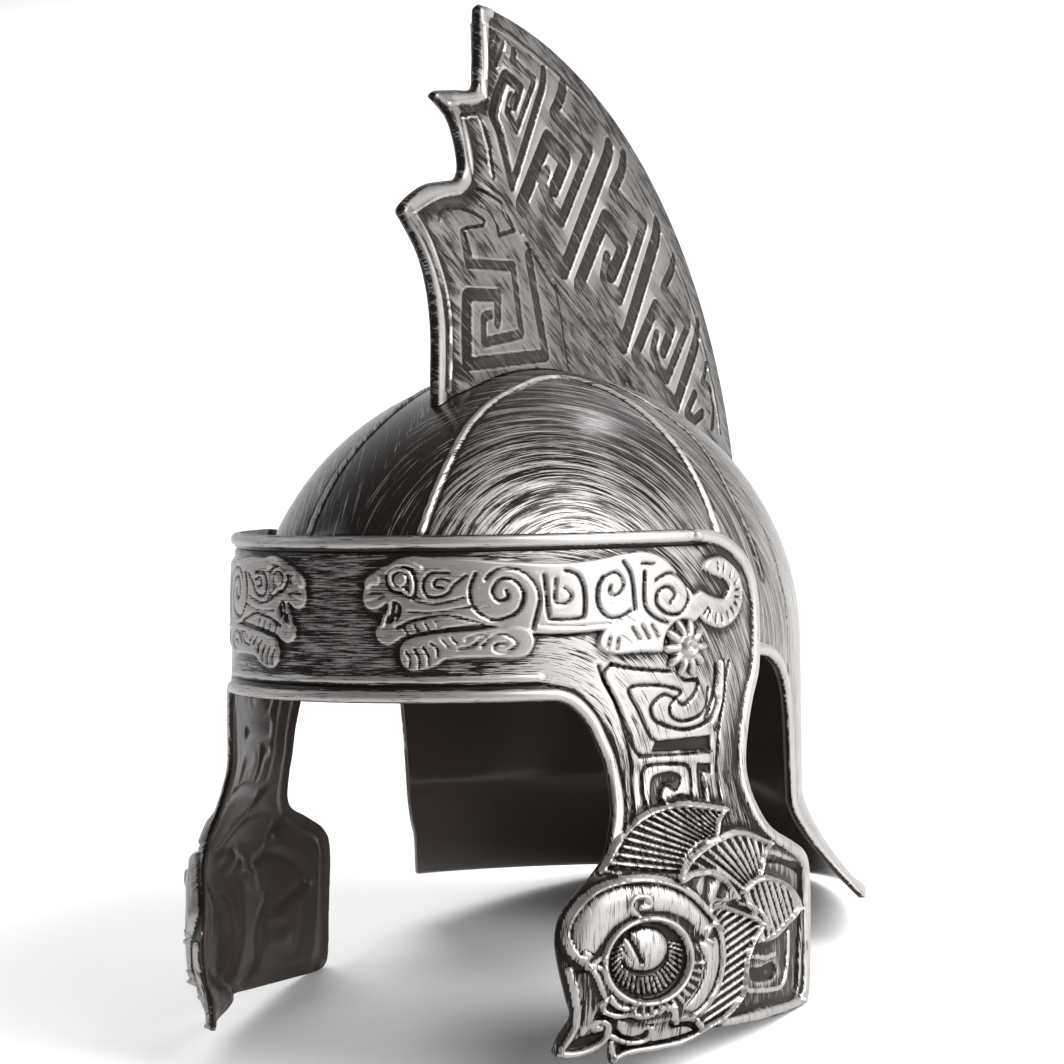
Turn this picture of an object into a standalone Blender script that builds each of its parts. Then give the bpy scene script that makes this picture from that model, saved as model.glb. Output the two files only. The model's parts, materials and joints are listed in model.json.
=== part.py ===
"""Gladiator helmet in moulded plastic: a ribbed skull with a neck guard, a crest, and a face guard that
swings on two rosette rivets at the temples.

Every piece is modelled upright in metres, with z = 0 at the face guard's top rim, the wearer facing -Y and
the left ear at +X. The whole helmet is then leaned back until it rests on its own edges, as it does on a
table, and is moved so that the origin is the centre of its footprint.
"""
from collections import namedtuple
from math import acos, asin, atan2, cos, hypot, pi, sin, sqrt, tau

import bpy
import bmesh
import numpy as np
from mathutils import Matrix, Vector, geometry

# Face guard: the brow band and the two cheek guards
BAND_HALF_WIDTH = 0.098
BAND_HALF_LENGTH = 0.117
BAND_HEIGHT = 0.0585
BAND_REACH = 0.1768          # round the rim from the brow's centre to the rear end at the temple
BAND_DRIFT = 0.045           # outward slope of the band, per unit of height
CHEEK_FRONT = 0.075          # round the rim from the brow's centre to the cheek guard's front edge
CHEEK_WIDTH = 0.116
CHEEK_DROP = 0.1175          # from the band's lower edge to the cheek guard's rear corner
CHEEK_FLARE = 0.0085
CHEEK_FLARE_TOP = 0.084
CHEEK_FLARE_DEPTH = 0.038
VISOR_WALL = 0.0022
BEAD_WIDTH = 0.0044
BEAD_HEIGHT = 0.0012

# Skull: the dome, the sides and the neck guard
DOME_SIDE_CLEARANCE = 0.005  # from the band's rim in to the dome's widest line
DOME_LENGTH_OVER_BAND = 0.008
DOME_HALF_WIDTH = BAND_HALF_WIDTH - DOME_SIDE_CLEARANCE
DOME_HALF_LENGTH = BAND_HALF_LENGTH + DOME_LENGTH_OVER_BAND
DOME_RISE = 0.104
DOME_CENTRE_Y = 0.0087
DOME_BASE_Z = -0.045
SKULL_WALL = 0.0022
BROW_EDGE_DEPTH = 0.056      # the skull's front edge, hidden behind the band
NECK_DEPTH = 0.143           # the neck guard's lower edge, below the rim
NECK_FLARE = 0.024
NECK_FLARE_DEPTH = 0.040
EAR_LENGTH = 0.093           # from the front of the ear arch to the neck guard's front corner
GORE_RIDGE_HEIGHT = 0.0012
GORE_RIDGE_SLOPE = 0.0016

# Crest
CREST_FRONT_Y = -0.051
CREST_LENGTH = 0.217
CREST_HEIGHT = 0.194
CREST_THICKNESS = 0.012
CREST_EDGE_RADIUS = 0.0035
CREST_WALL = 0.0022
CREST_ARC_RADIUS = 0.219
CREST_TAIL_Z = 0.008
CREST_TAIL_DEPTH = 0.020

# Rosette rivets
PIVOT_Y = -0.0375
PIVOT_Z = -0.042
ROSETTE_RADIUS = 0.0105
ROSETTE_PETALS = 9
ROSETTE_RISE = 0.0046
SHANK_RADIUS = 0.0024
BUTTON_RADIUS = 0.0055
BUTTON_THICKNESS = 0.0016
PAD_RADIUS = 0.0085
PAD_DEPTH = 0.0035           # from the skull's outer surface in to the pads' inner ends
HINGE_SIDES = 16

# Cast relief
RELIEF_HEIGHT = 0.0014
RELIEF_SLOPE = 0.0008
GROOVE_DEPTH = 0.0009
BAR_WIDTH = 0.0040           # flat of the meander bars and of the tails
FRAME_WIDTH = 0.0036
RIM_SLOPE = 0.0020           # half the width of a ridge without a flat
CREST_BAR_WIDTH = 0.0042
BORDER_SLOPE = 0.0016
BOSS_RISE = 0.0050
BOSS_RADIUS = 0.0275
BOSS_RING = 0.90             # rings of the eye boss, as shares of its radius
EYE_RING = 0.52
EYE_PUPIL = 0.24

# Fits
SEAT_GAP = 0.0003
RUNNING_GAP = 0.0004
MERGE = 1e-5

# Rows of a contour on the band: shares of BAND_REACH and of BAND_HEIGHT, downwards
Band = namedtuple("Band", "reach drop")
# Rows of a contour on a cheek guard: shares of CHEEK_WIDTH from its front, and of CHEEK_DROP from its top
Cheek = namedtuple("Cheek", "across drop")
# Rows in the crest's plane: shares of CREST_LENGTH from its front foot, and of CREST_HEIGHT above the rim
Fin = namedtuple("Fin", "along up")
# Rows in the plan of the dome: shares of DOME_HALF_WIDTH, and of DOME_HALF_LENGTH backwards
Plan = namedtuple("Plan", "wide back")
# Rows of the ear cut-out, from the side: shares of EAR_LENGTH backwards and of NECK_DEPTH downwards
Ear = namedtuple("Ear", "back drop")
# A raised strip (a negative height is a groove), or a filled shape raised as a plateau
Relief = namedtuple("Relief", "path half_width slope height closed filled")
# A curl: centre on the band, radius as a share of BAND_HEIGHT, turns, and the angle where it starts
Curl = namedtuple("Curl", "reach drop radius turns start")

TEMPLE_CORNER = [
    Band(0.970, 0.89), Band(0.993, 0.70), Band(1.000, 0.48), Band(0.987, 0.29),
    Band(0.953, 0.16), Band(0.905, 0.07), Band(0.848, 0.02), Band(0.792, 0.00),
]
CHEEK_CONTOUR = [
    Cheek(0.084, 0.016), Cheek(0.129, 0.065), Cheek(0.160, 0.127), Cheek(0.183, 0.187), Cheek(0.196, 0.266),
    Cheek(0.193, 0.339), Cheek(0.179, 0.400), Cheek(0.149, 0.464), Cheek(0.106, 0.519), Cheek(0.043, 0.580),
    Cheek(0.016, 0.637), Cheek(0.003, 0.710), Cheek(0.013, 0.800), Cheek(0.028, 0.872), Cheek(0.043, 0.934),
    Cheek(0.013, 0.987), Cheek(-0.005, 1.030), Cheek(0.015, 1.060), Cheek(0.082, 1.050), Cheek(0.112, 1.015),
    Cheek(0.145, 1.056), Cheek(0.181, 1.071), Cheek(0.250, 1.026), Cheek(0.380, 1.015), Cheek(0.443, 1.008),
    Cheek(0.580, 1.008), Cheek(0.716, 1.008), Cheek(0.820, 1.005), Cheek(0.905, 1.001), Cheek(0.966, 0.992),
    Cheek(0.991, 0.966), Cheek(1.002, 0.860), Cheek(1.009, 0.753), Cheek(1.013, 0.626), Cheek(1.000, 0.536),
    Cheek(0.966, 0.502), Cheek(0.888, 0.468), Cheek(0.802, 0.430), Cheek(0.763, 0.379), Cheek(0.746, 0.311),
    Cheek(0.750, 0.217), Cheek(0.776, 0.089),
]
BEAST = [
    Band(0.070, 0.224), Band(0.090, 0.17), Band(0.127, 0.14), Band(0.170, 0.12), Band(0.270, 0.133),
    Band(0.396, 0.171), Band(0.547, 0.142), Band(0.646, 0.118), Band(0.718, 0.18), Band(0.775, 0.337),
    Band(0.795, 0.547), Band(0.721, 0.598), Band(0.534, 0.568), Band(0.408, 0.578), Band(0.307, 0.538),
    Band(0.213, 0.575), Band(0.141, 0.632), Band(0.107, 0.643), Band(0.096, 0.554), Band(0.124, 0.523),
    Band(0.145, 0.438), Band(0.142, 0.385), Band(0.099, 0.438), Band(0.081, 0.427), Band(0.066, 0.36),
]
FORELEG = [
    Band(0.213, 0.62), Band(0.145, 0.67), Band(0.149, 0.745), Band(0.174, 0.80), Band(0.227, 0.732),
    Band(0.310, 0.708), Band(0.386, 0.735), Band(0.408, 0.67), Band(0.390, 0.62), Band(0.307, 0.59),
]
HIND_LEG = [
    Band(0.545, 0.634), Band(0.541, 0.675), Band(0.572, 0.718), Band(0.680, 0.738), Band(0.690, 0.650),
    Band(0.615, 0.622),
]
TAIL = [
    Band(0.800, 0.51), Band(0.845, 0.56), Band(0.900, 0.50), Band(0.928, 0.34), Band(0.910, 0.21),
    Band(0.850, 0.18), Band(0.830, 0.24),
]
CURLS = [
    Curl(0.150, 0.236, 0.045, 0.8, 0.5), Curl(0.350, 0.340, 0.160, 1.6, 0.0), Curl(0.468, 0.360, 0.090, 0.8, 0.7),
    Curl(0.580, 0.337, 0.090, 0.8, 0.2), Curl(0.713, 0.372, 0.130, 1.3, 0.4),
]
MEANDER_HOOK = [
    Cheek(0.542, -0.026), Cheek(0.481, -0.041), Cheek(0.240, -0.053), Cheek(0.336, 0.142), Cheek(0.603, 0.159),
]
MEANDER_SCROLL = [
    Cheek(0.679, -0.071), Cheek(0.665, 0.026), Cheek(0.602, 0.081), Cheek(0.484, 0.102), Cheek(0.399, 0.077),
    Cheek(0.391, 0.027), Cheek(0.445, 0.010),
]
SMALL_SCROLL = [
    Cheek(0.320, 0.314), Cheek(0.328, 0.226), Cheek(0.353, 0.212), Cheek(0.498, 0.221), Cheek(0.512, 0.247),
    Cheek(0.495, 0.302), Cheek(0.422, 0.297), Cheek(0.410, 0.260),
]
SHORT_BAR = [Cheek(0.590, 0.226), Cheek(0.575, 0.299)]
UPPER_FEATHERS = [
    Cheek(0.160, 0.505), Cheek(0.200, 0.445), Cheek(0.263, 0.385), Cheek(0.351, 0.348), Cheek(0.449, 0.339),
    Cheek(0.572, 0.352), Cheek(0.517, 0.414), Cheek(0.420, 0.446), Cheek(0.346, 0.500),
]
REAR_FEATHERS = [
    Cheek(0.375, 0.525), Cheek(0.434, 0.476), Cheek(0.543, 0.442), Cheek(0.659, 0.437), Cheek(0.705, 0.465),
    Cheek(0.657, 0.535), Cheek(0.568, 0.560),
]
LEAF = [
    Cheek(0.608, 0.590), Cheek(0.657, 0.567), Cheek(0.759, 0.583), Cheek(0.870, 0.672), Cheek(0.761, 0.735),
    Cheek(0.715, 0.700),
]
LOWER_FEATHERS = [
    Cheek(0.500, 0.636), Cheek(0.553, 0.632), Cheek(0.678, 0.710), Cheek(0.640, 0.810), Cheek(0.581, 0.905),
    Cheek(0.467, 0.970), Cheek(0.395, 0.951), Cheek(0.490, 0.882), Cheek(0.525, 0.770),
]
PLATE_FRAME = [
    Cheek(0.790, 0.518), Cheek(0.940, 0.570), Cheek(0.955, 0.779), Cheek(0.930, 0.945), Cheek(0.580, 0.960),
]
PLATE_HOOK = [Cheek(0.870, 0.743), Cheek(0.864, 0.890), Cheek(0.690, 0.880)]
BOSS_CENTRE = Cheek(0.246, 0.745)
EYE_CENTRE = Cheek(0.232, 0.765)

CREST_PRONGS = [
    Fin(-0.014, 0.300), Fin(-0.012, 0.376), Fin(-0.023, 0.454), Fin(-0.051, 0.520), Fin(-0.108, 0.590),
    Fin(-0.097, 0.608), Fin(-0.041, 0.639), Fin(0.023, 0.657), Fin(0.060, 0.665), Fin(0.078, 0.690),
    Fin(0.065, 0.737), Fin(0.041, 0.778), Fin(-0.007, 0.810), Fin(0.005, 0.825), Fin(0.060, 0.830),
    Fin(0.118, 0.840), Fin(0.127, 0.887), Fin(0.131, 0.985), Fin(0.140, 1.000),
]
CREST_TIP = Fin(0.154, 0.998)
SQUARE_SPIRAL = [
    Fin(0.281, 0.526), Fin(0.290, 0.352), Fin(0.060, 0.340), Fin(0.060, 0.490), Fin(0.217, 0.490),
    Fin(0.212, 0.400), Fin(0.115, 0.395), Fin(0.115, 0.443), Fin(0.161, 0.443),
]
FRONT_BORDER = [
    Fin(0.035, 0.300), Fin(0.037, 0.376), Fin(0.027, 0.470), Fin(-0.005, 0.545), Fin(-0.030, 0.590),
    Fin(0.040, 0.615), Fin(0.110, 0.628), Fin(0.134, 0.690), Fin(0.085, 0.783), Fin(0.172, 0.800),
]
# One rhombic meander unit: shares of UNIT_PITCH along the row and across it
Unit = namedtuple("Unit", "along across")
RHOMB_SPIRAL = [
    Unit(-0.36, -0.40), Unit(-0.36, 0.36), Unit(0.18, 0.36), Unit(0.18, -0.20), Unit(-0.10, -0.20), Unit(-0.10, 0.12),
]
RHOMB_BAR = [Unit(0.46, -0.62), Unit(0.46, 0.44)]
UNIT_COUNT = 5
UNIT_PITCH = 0.043
UNIT_SCALES = (0.72, 1.0, 1.0, 0.9, 0.62)
FIRST_UNIT = Fin(0.217, 0.800)
ROW_DIRECTION = (0.77, -0.64)
ROW_BOW = (-0.035, -0.045)   # share of CREST_LENGTH
BAR_DIRECTION = (0.53, 0.85)
CREST_FOOT_POINTS = 16

FRONT_GORE = [
    Plan(0.260, -0.860), Plan(0.240, -0.670), Plan(0.215, -0.530), Plan(0.210, -0.380), Plan(0.210, -0.150),
    Plan(0.270, -0.045), Plan(0.400, -0.010), Plan(0.540, 0.010), Plan(0.680, 0.005), Plan(0.820, -0.015),
    Plan(0.900, -0.030), Plan(0.955, -0.040),
]
REAR_GORE = [
    Plan(0.955, 0.165), Plan(0.850, 0.150), Plan(0.750, 0.160), Plan(0.630, 0.165), Plan(0.470, 0.120),
    Plan(0.330, 0.100), Plan(0.240, 0.180), Plan(0.210, 0.350), Plan(0.210, 0.600), Plan(0.205, 0.800),
    Plan(0.200, 0.930),
]
EAR_CONTOUR = [
    Ear(0.000, 0.391), Ear(0.085, 0.371), Ear(0.195, 0.345), Ear(0.325, 0.335), Ear(0.450, 0.343),
    Ear(0.560, 0.374), Ear(0.635, 0.427), Ear(0.672, 0.497), Ear(0.688, 0.587), Ear(0.694, 0.678),
    Ear(0.710, 0.748), Ear(0.769, 0.818), Ear(0.849, 0.881), Ear(0.930, 0.948), Ear(1.000, 1.000),
]
EAR_FRONT_Y = -0.014

GRID_STEP = 0.0105
INNER_GRID_STEP = 0.014
GRID_MARGIN = 0.0022
SKULL_COLUMNS = 40
SKULL_ROWS = 20


def clear_scene():
    for obj in list(bpy.data.objects):
        bpy.data.objects.remove(obj, do_unlink=True)


def make_material(name, colour, roughness, metallic):
    material = bpy.data.materials.new(name)
    material.use_nodes = True
    shader = material.node_tree.nodes["Principled BSDF"]
    shader.inputs["Base Color"].default_value = (*colour, 1.0)
    shader.inputs["Roughness"].default_value = roughness
    shader.inputs["Metallic"].default_value = metallic
    return material


def smooth(share):
    share = np.clip(share, 0.0, 1.0)
    return share * share * (3.0 - 2.0 * share)


# Plane geometry of the developed sheets

def band_points(rows):
    return np.array([(row.reach * BAND_REACH, -row.drop * BAND_HEIGHT) for row in rows])


def cheek_points(rows):
    return np.array([
        (CHEEK_FRONT + row.across * CHEEK_WIDTH, -BAND_HEIGHT - row.drop * CHEEK_DROP) for row in rows
    ])


def fin_points(rows):
    return np.array([(CREST_FRONT_Y + row.along * CREST_LENGTH, row.up * CREST_HEIGHT) for row in rows])


def mirrored(path):
    return (np.asarray(path) * (-1.0, 1.0))[::-1]


def signed_area(path):
    ahead = np.roll(path, -1, axis=0)
    return 0.5 * float(np.sum(path[:, 0] * ahead[:, 1] - ahead[:, 0] * path[:, 1]))


def offset_path(path, distance, closed):
    """The path moved to its left by a distance, mitred at its corners."""
    path = np.asarray(path, float)
    ahead = np.roll(path, -1, axis=0) - path
    behind = path - np.roll(path, 1, axis=0)
    if not closed:
        ahead[-1] = behind[-1]
        behind[0] = ahead[0]
    left_ahead = np.stack([-ahead[:, 1], ahead[:, 0]], axis=1) / np.linalg.norm(ahead, axis=1)[:, None]
    left_behind = np.stack([-behind[:, 1], behind[:, 0]], axis=1) / np.linalg.norm(behind, axis=1)[:, None]
    spread = np.maximum(1.0 + np.sum(left_ahead * left_behind, axis=1), 0.6)
    return path + distance * (left_ahead + left_behind) / spread[:, None]


def distance_to_path(points, path, closed):
    start = path if closed else path[:-1]
    end = np.roll(path, -1, axis=0) if closed else path[1:]
    run = end - start
    offset = points[:, None, :] - start[None, :, :]
    share = np.sum(offset * run, axis=2) / np.maximum(np.sum(run * run, axis=1), 1e-18)
    nearest = offset - np.clip(share, 0.0, 1.0)[:, :, None] * run
    return np.sqrt(np.min(np.sum(nearest * nearest, axis=2), axis=1))


def inside_path(points, path):
    """Even-odd test of each point against a closed path."""
    start = path
    end = np.roll(path, -1, axis=0)
    x, y = points[:, 0:1], points[:, 1:2]
    spans = (start[:, 1] > y) != (end[:, 1] > y)
    rise = np.where(end[:, 1] == start[:, 1], 1.0, end[:, 1] - start[:, 1])
    crossing = start[:, 0] + (y - start[:, 1]) * (end[:, 0] - start[:, 0]) / rise
    return np.sum(spans & (x < crossing), axis=1) % 2 == 1


def densified(path, step, closed=False):
    """The path with points added so that no run is longer than a step."""
    path = np.asarray(path, float)
    ends = np.vstack([path[1:], path[:1]]) if closed else path[1:]
    pieces = []
    for start, end in zip(path, ends):
        count = max(1, int(np.ceil(np.linalg.norm(end - start) / step)))
        pieces.append(start + (end - start) * (np.arange(count) / count)[:, None])
    if not closed:
        pieces.append(path[-1:])
    return np.vstack(pieces)


def circle_path(centre, radius, sides):
    angle = tau * np.arange(sides) / sides
    return centre + radius * np.stack([np.cos(angle), np.sin(angle)], axis=1)


def curl_path(centre, radius, turns, start):
    """A spiral whose radius falls evenly to a quarter of its first value."""
    count = max(5, int(8 * turns))
    share = np.linspace(0.0, 1.0, count)
    angle = tau * (start + turns * share)
    reach = radius * (1.0 - 0.75 * share)
    return centre + np.stack([reach * np.cos(angle), reach * np.sin(angle)], axis=1)


# Relief

def strip(path, width, height, slope=RELIEF_SLOPE, closed=False):
    return Relief(np.asarray(path), width / 2.0, slope, height, closed, False)


def plateau(path, height):
    path = np.asarray(path)
    if signed_area(path) > 0:
        path = path[::-1]
    return Relief(path, 0.0, RELIEF_SLOPE, height, True, True)


def relief_lines(relief):
    """The closed lines where a relief's flat and its slope begin."""
    if relief.filled:
        return [(relief.path, True), (offset_path(relief.path, relief.slope, True), True)]
    lines = []
    offsets = [relief.half_width + relief.slope]
    if relief.half_width > 0.0:
        offsets.append(relief.half_width)
    else:
        lines.append((relief.path, relief.closed))
    for offset in offsets:
        left = offset_path(relief.path, offset, relief.closed)
        right = offset_path(relief.path, -offset, relief.closed)
        if relief.closed:
            lines += [(left, True), (right, True)]
        else:
            lines.append((np.vstack([left, right[::-1]]), True))
    return lines


def relief_rise(points, reliefs):
    """Height of the cast surface over its backing: the highest relief, less the deepest groove."""
    raised = np.zeros(len(points))
    cut = np.zeros(len(points))
    for relief in reliefs:
        away = distance_to_path(points, relief.path, relief.closed)
        if relief.filled:
            away = np.where(inside_path(points, relief.path), 0.0, away)
        share = np.clip(1.0 - np.maximum(away - relief.half_width, 0.0) / relief.slope, 0.0, 1.0)
        if relief.height > 0.0:
            raised = np.maximum(raised, share * relief.height)
        else:
            cut = np.maximum(cut, -share * relief.height)
    return np.maximum(raised - cut, 0.0)


# Sheets: a flat triangulation that is wrapped on to a curved surface and given a wall

def grid_in(outline, lines, step):
    """Points on a triangular grid inside the outline, clear of it and of the lines."""
    low, high = outline.min(axis=0), outline.max(axis=0)
    row_step = step * sqrt(3.0) / 2.0
    rows = np.arange(low[1] + row_step / 2.0, high[1], row_step)
    columns = np.arange(low[0], high[0], step)
    grid = np.array([(x + (step / 2.0 if row % 2 else 0.0), y) for row, y in enumerate(rows) for x in columns])
    keep = inside_path(grid, outline) & (distance_to_path(grid, outline, True) > GRID_MARGIN)
    for line, closed in lines:
        keep &= distance_to_path(grid, line, closed) > GRID_MARGIN
    return grid[keep]


def triangulate(outline, points, lines):
    """Constrained triangulation inside an outline: its points, its triangles and its boundary loop."""
    coordinates = [tuple(point) for point in outline]
    edges = [(i, (i + 1) % len(outline)) for i in range(len(outline))]
    for line, closed in lines:
        first = len(coordinates)
        coordinates += [tuple(point) for point in line]
        edges += [(first + i, first + i + 1) for i in range(len(line) - 1)]
        if closed:
            edges.append((first + len(line) - 1, first))
    coordinates += [tuple(point) for point in points]
    result = geometry.delaunay_2d_cdt([Vector(point) for point in coordinates], edges, [], 0, MERGE, False)
    flat = np.array([tuple(point) for point in result[0]])
    triangles = np.array([face for face in result[2]])
    middle = flat[triangles].mean(axis=1)
    triangles = triangles[inside_path(middle, outline)]
    used = np.unique(triangles)
    renumber = np.full(len(flat), -1)
    renumber[used] = np.arange(len(used))
    triangles = renumber[triangles]
    flat = flat[used]
    return flat, triangles, boundary_loop(triangles)


def boundary_loop(triangles):
    """The vertices along the open edge, in order, from the directed edges that occur once."""
    directed = {(int(a), int(b)) for tri in triangles for a, b in ((tri[0], tri[1]), (tri[1], tri[2]), (tri[2], tri[0]))}
    follow = {a: b for a, b in directed if (b, a) not in directed}
    start = min(follow)
    loop = [start]
    while follow[loop[-1]] != start:
        loop.append(follow[loop[-1]])
    return loop


def join_faces(name, front, triangles, loop, back, back_triangles, back_loop, back_flat, flat):
    """Front and back surfaces joined round their shared outline into one closed mesh."""
    count = len(front)
    start = int(np.argmin(np.sum((back_flat[back_loop] - flat[loop[0]]) ** 2, axis=1)))
    back_loop = back_loop[start:] + back_loop[:start]
    faces = [tuple(map(int, tri)) for tri in triangles]
    faces += [tuple(int(count + v) for v in tri[::-1]) for tri in back_triangles]
    size = len(loop)
    for i in range(size):
        j = (i + 1) % size
        faces.append((loop[j], loop[i], count + back_loop[i], count + back_loop[j]))
    return mesh_object(name, np.vstack([front, back]), faces)


def mesh_object(name, vertices, faces):
    mesh = bpy.data.meshes.new(name)
    mesh.from_pydata([tuple(vertex) for vertex in vertices], [], faces)
    edit = bmesh.new()
    edit.from_mesh(mesh)
    bmesh.ops.recalc_face_normals(edit, faces=edit.faces[:])
    edit.to_mesh(mesh)
    edit.free()
    obj = bpy.data.objects.new(name, mesh)
    bpy.context.scene.collection.objects.link(obj)
    return obj


def boolean(obj, cutter, operation):
    """Join or cut a piece with another mesh, which is kept only as a hidden guide."""
    modifier = obj.modifiers.new(cutter.name, "BOOLEAN")
    modifier.operation = operation
    modifier.object = cutter
    modifier.solver = "EXACT"
    cutter.hide_render = True
    cutter.display_type = "WIRE"


def drum_mesh(name, outlines, sides):
    """A closed drum from a stack of rings, each an array of points."""
    vertices = np.vstack(outlines)
    faces = [tuple(range(sides))[::-1]]
    for ring in range(len(outlines) - 1):
        low, high = ring * sides, (ring + 1) * sides
        faces += [(low + i, low + (i + 1) % sides, high + (i + 1) % sides, high + i) for i in range(sides)]
    faces.append(tuple(range((len(outlines) - 1) * sides, len(outlines) * sides)))
    return mesh_object(name, vertices, faces)


# Face guard

def rim_reach_table(count=721):
    """Distance round the rim's ellipse from the brow's centre, against its angle."""
    angle = np.linspace(0.0, pi, count)
    x, y = BAND_HALF_WIDTH * np.sin(angle), BAND_HALF_LENGTH * np.cos(angle)
    run = np.hypot(np.diff(x), np.diff(y))
    return angle, np.concatenate([[0.0], np.cumsum(run)])


def visor_spread(height):
    """Outward shift of the face guard at a height: the band's drift, then the cheek guards' flare."""
    depth = -np.asarray(height, float)
    drift = BAND_DRIFT * np.clip(depth, 0.0, BAND_HEIGHT + 0.3 * CHEEK_DROP)
    return drift + CHEEK_FLARE * smooth((depth - CHEEK_FLARE_TOP) / CHEEK_FLARE_DEPTH)


def boss_rise(points):
    centre = cheek_points([BOSS_CENTRE])[0]
    away = np.hypot(np.abs(points[:, 0]) - centre[0], points[:, 1] - centre[1])
    return BOSS_RISE * (1.0 - smooth((away - 0.75 * BOSS_RADIUS) / (0.6 * BOSS_RADIUS)))


def visor_surface(points, standoff):
    """The developed sheet bent round the rim's ellipse and spread out lower down."""
    angles, reaches = rim_reach_table()
    turn = np.sign(points[:, 0]) * np.interp(np.abs(points[:, 0]), reaches, angles)
    spread = visor_spread(points[:, 1])
    half_width, half_length = BAND_HALF_WIDTH + spread, BAND_HALF_LENGTH + spread
    normal = np.stack([np.sin(turn) / half_width, -np.cos(turn) / half_length, np.zeros(len(points))], axis=1)
    normal /= np.linalg.norm(normal, axis=1)[:, None]
    ground = np.stack([half_width * np.sin(turn), -half_length * np.cos(turn), points[:, 1]], axis=1)
    return ground + normal * (standoff + boss_rise(points))[:, None]


def visor_outline():
    """Half of the outline from the brow's centre along the lower edges and back along the rim, and its mirror."""
    brow_end = CHEEK_FRONT + 0.034 * CHEEK_WIDTH
    lower = np.array([(0.0, -BAND_HEIGHT), (brow_end, -BAND_HEIGHT)])
    rim = np.array([(TEMPLE_CORNER[-1].reach * BAND_REACH, 0.0), (0.0, 0.0)])
    half = np.vstack([
        densified(lower, GRID_STEP), cheek_points(CHEEK_CONTOUR), band_points(TEMPLE_CORNER[:-1]),
        densified(rim, GRID_STEP),
    ])
    return np.vstack([half, mirrored(half)[1:-1]])


def band_reliefs():
    reliefs = [plateau(band_points(rows), RELIEF_HEIGHT) for rows in (BEAST, FORELEG, HIND_LEG)]
    reliefs.append(strip(band_points(TAIL), BAR_WIDTH, RELIEF_HEIGHT))
    for curl in CURLS:
        centre = band_points([curl])[0]
        path = curl_path(centre, curl.radius * BAND_HEIGHT, curl.turns, curl.start)
        reliefs.append(strip(path, 0.0, -GROOVE_DEPTH))
    return reliefs


def cheek_reliefs():
    """Meander bars, feather plates a little prouder, and the eye boss's rings, the proudest."""
    low, high = RELIEF_HEIGHT, 1.6 * RELIEF_HEIGHT
    bars = (MEANDER_HOOK, MEANDER_SCROLL, SMALL_SCROLL, SHORT_BAR)
    feathers = (UPPER_FEATHERS, REAR_FEATHERS, LEAF, LOWER_FEATHERS)
    reliefs = [strip(cheek_points(rows), BAR_WIDTH, low) for rows in bars]
    reliefs += [plateau(cheek_points(rows), 1.2 * low) for rows in feathers]
    reliefs += [strip(cheek_points(PLATE_FRAME), FRAME_WIDTH, low), strip(cheek_points(PLATE_HOOK), 0.0, low)]
    boss = cheek_points([BOSS_CENTRE])[0]
    eye = cheek_points([EYE_CENTRE])[0]
    reliefs.append(strip(circle_path(boss, BOSS_RING * BOSS_RADIUS, 22), 0.0, high, RIM_SLOPE, True))
    reliefs.append(strip(circle_path(eye, EYE_RING * BOSS_RADIUS, 16), 0.0, high, RIM_SLOPE, True))
    reliefs.append(plateau(circle_path(eye, EYE_PUPIL * BOSS_RADIUS, 8), high))
    return reliefs


def both_sides(reliefs):
    return reliefs + [relief._replace(path=mirrored(relief.path)) for relief in reliefs]


def edge_bead(outline):
    """A rounded bead along an outline, as the ridge line in the middle of its width."""
    inward = 1.0 if signed_area(outline) > 0 else -1.0
    ridge = offset_path(outline, inward * BEAD_WIDTH / 2.0, True)
    return Relief(ridge, 0.0, BEAD_WIDTH / 2.0, BEAD_HEIGHT, True, False)


def bead_lines(bead, outline):
    """The lines of a bead that lie inside the outline: its ridge and its inner foot."""
    inward = 1.0 if signed_area(outline) > 0 else -1.0
    return [(bead.path, True), (offset_path(outline, inward * BEAD_WIDTH, True), True)]


def pivot_on_sheet():
    """The hinge's place on the developed sheet."""
    spread = float(visor_spread(PIVOT_Z))
    turn = acos(-PIVOT_Y / (BAND_HALF_LENGTH + spread))
    angles, reaches = rim_reach_table()
    return np.array([np.interp(turn, angles, reaches), PIVOT_Z])


def rosette_seat(points):
    """Zero where a rosette's head lies and one elsewhere, so that the relief leaves its seat plain."""
    pivot = pivot_on_sheet()
    away = np.hypot(np.abs(points[:, 0]) - pivot[0], points[:, 1] - pivot[1])
    return np.clip((away - ROSETTE_RADIUS - RELIEF_SLOPE) / RELIEF_SLOPE, 0.0, 1.0)


def side_x(y, z, inset):
    """The face guard's side in x at a place seen from the side, moved in by an inset."""
    spread = float(visor_spread(z))
    half_width, half_length = BAND_HALF_WIDTH + spread - inset, BAND_HALF_LENGTH + spread - inset
    return half_width * np.sqrt(1.0 - (y / half_length) ** 2)


def side_turn(y, z, reach=0.001):
    """The rotation from the hinge's axis to the face guard's outward normal at a place seen from the side."""
    back_slope = (side_x(y + reach, z, 0.0) - side_x(y - reach, z, 0.0)) / (2.0 * reach)
    up_slope = (side_x(y, z + reach, 0.0) - side_x(y, z - reach, 0.0)) / (2.0 * reach)
    return Vector((1.0, 0.0, 0.0)).rotation_difference(Vector((1.0, -back_slope, -up_slope))).to_matrix()


def pivot_circle(radius, sides):
    angle = tau * np.arange(sides) / sides
    return PIVOT_Y + radius * np.cos(angle), PIVOT_Z + radius * np.sin(angle)


def pad_plane_x():
    """The plane, square to the hinge axis, where the face guard's bosses meet the skull's pads."""
    y, z = pivot_circle(PAD_RADIUS, HINGE_SIDES)
    visor_inside = min(side_x(yi, zi, VISOR_WALL) for yi, zi in zip(y, z))
    skull_outside = max(skull_side_x(yi, zi) for yi, zi in zip(y, z))
    return (visor_inside + skull_outside) / 2.0


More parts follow.
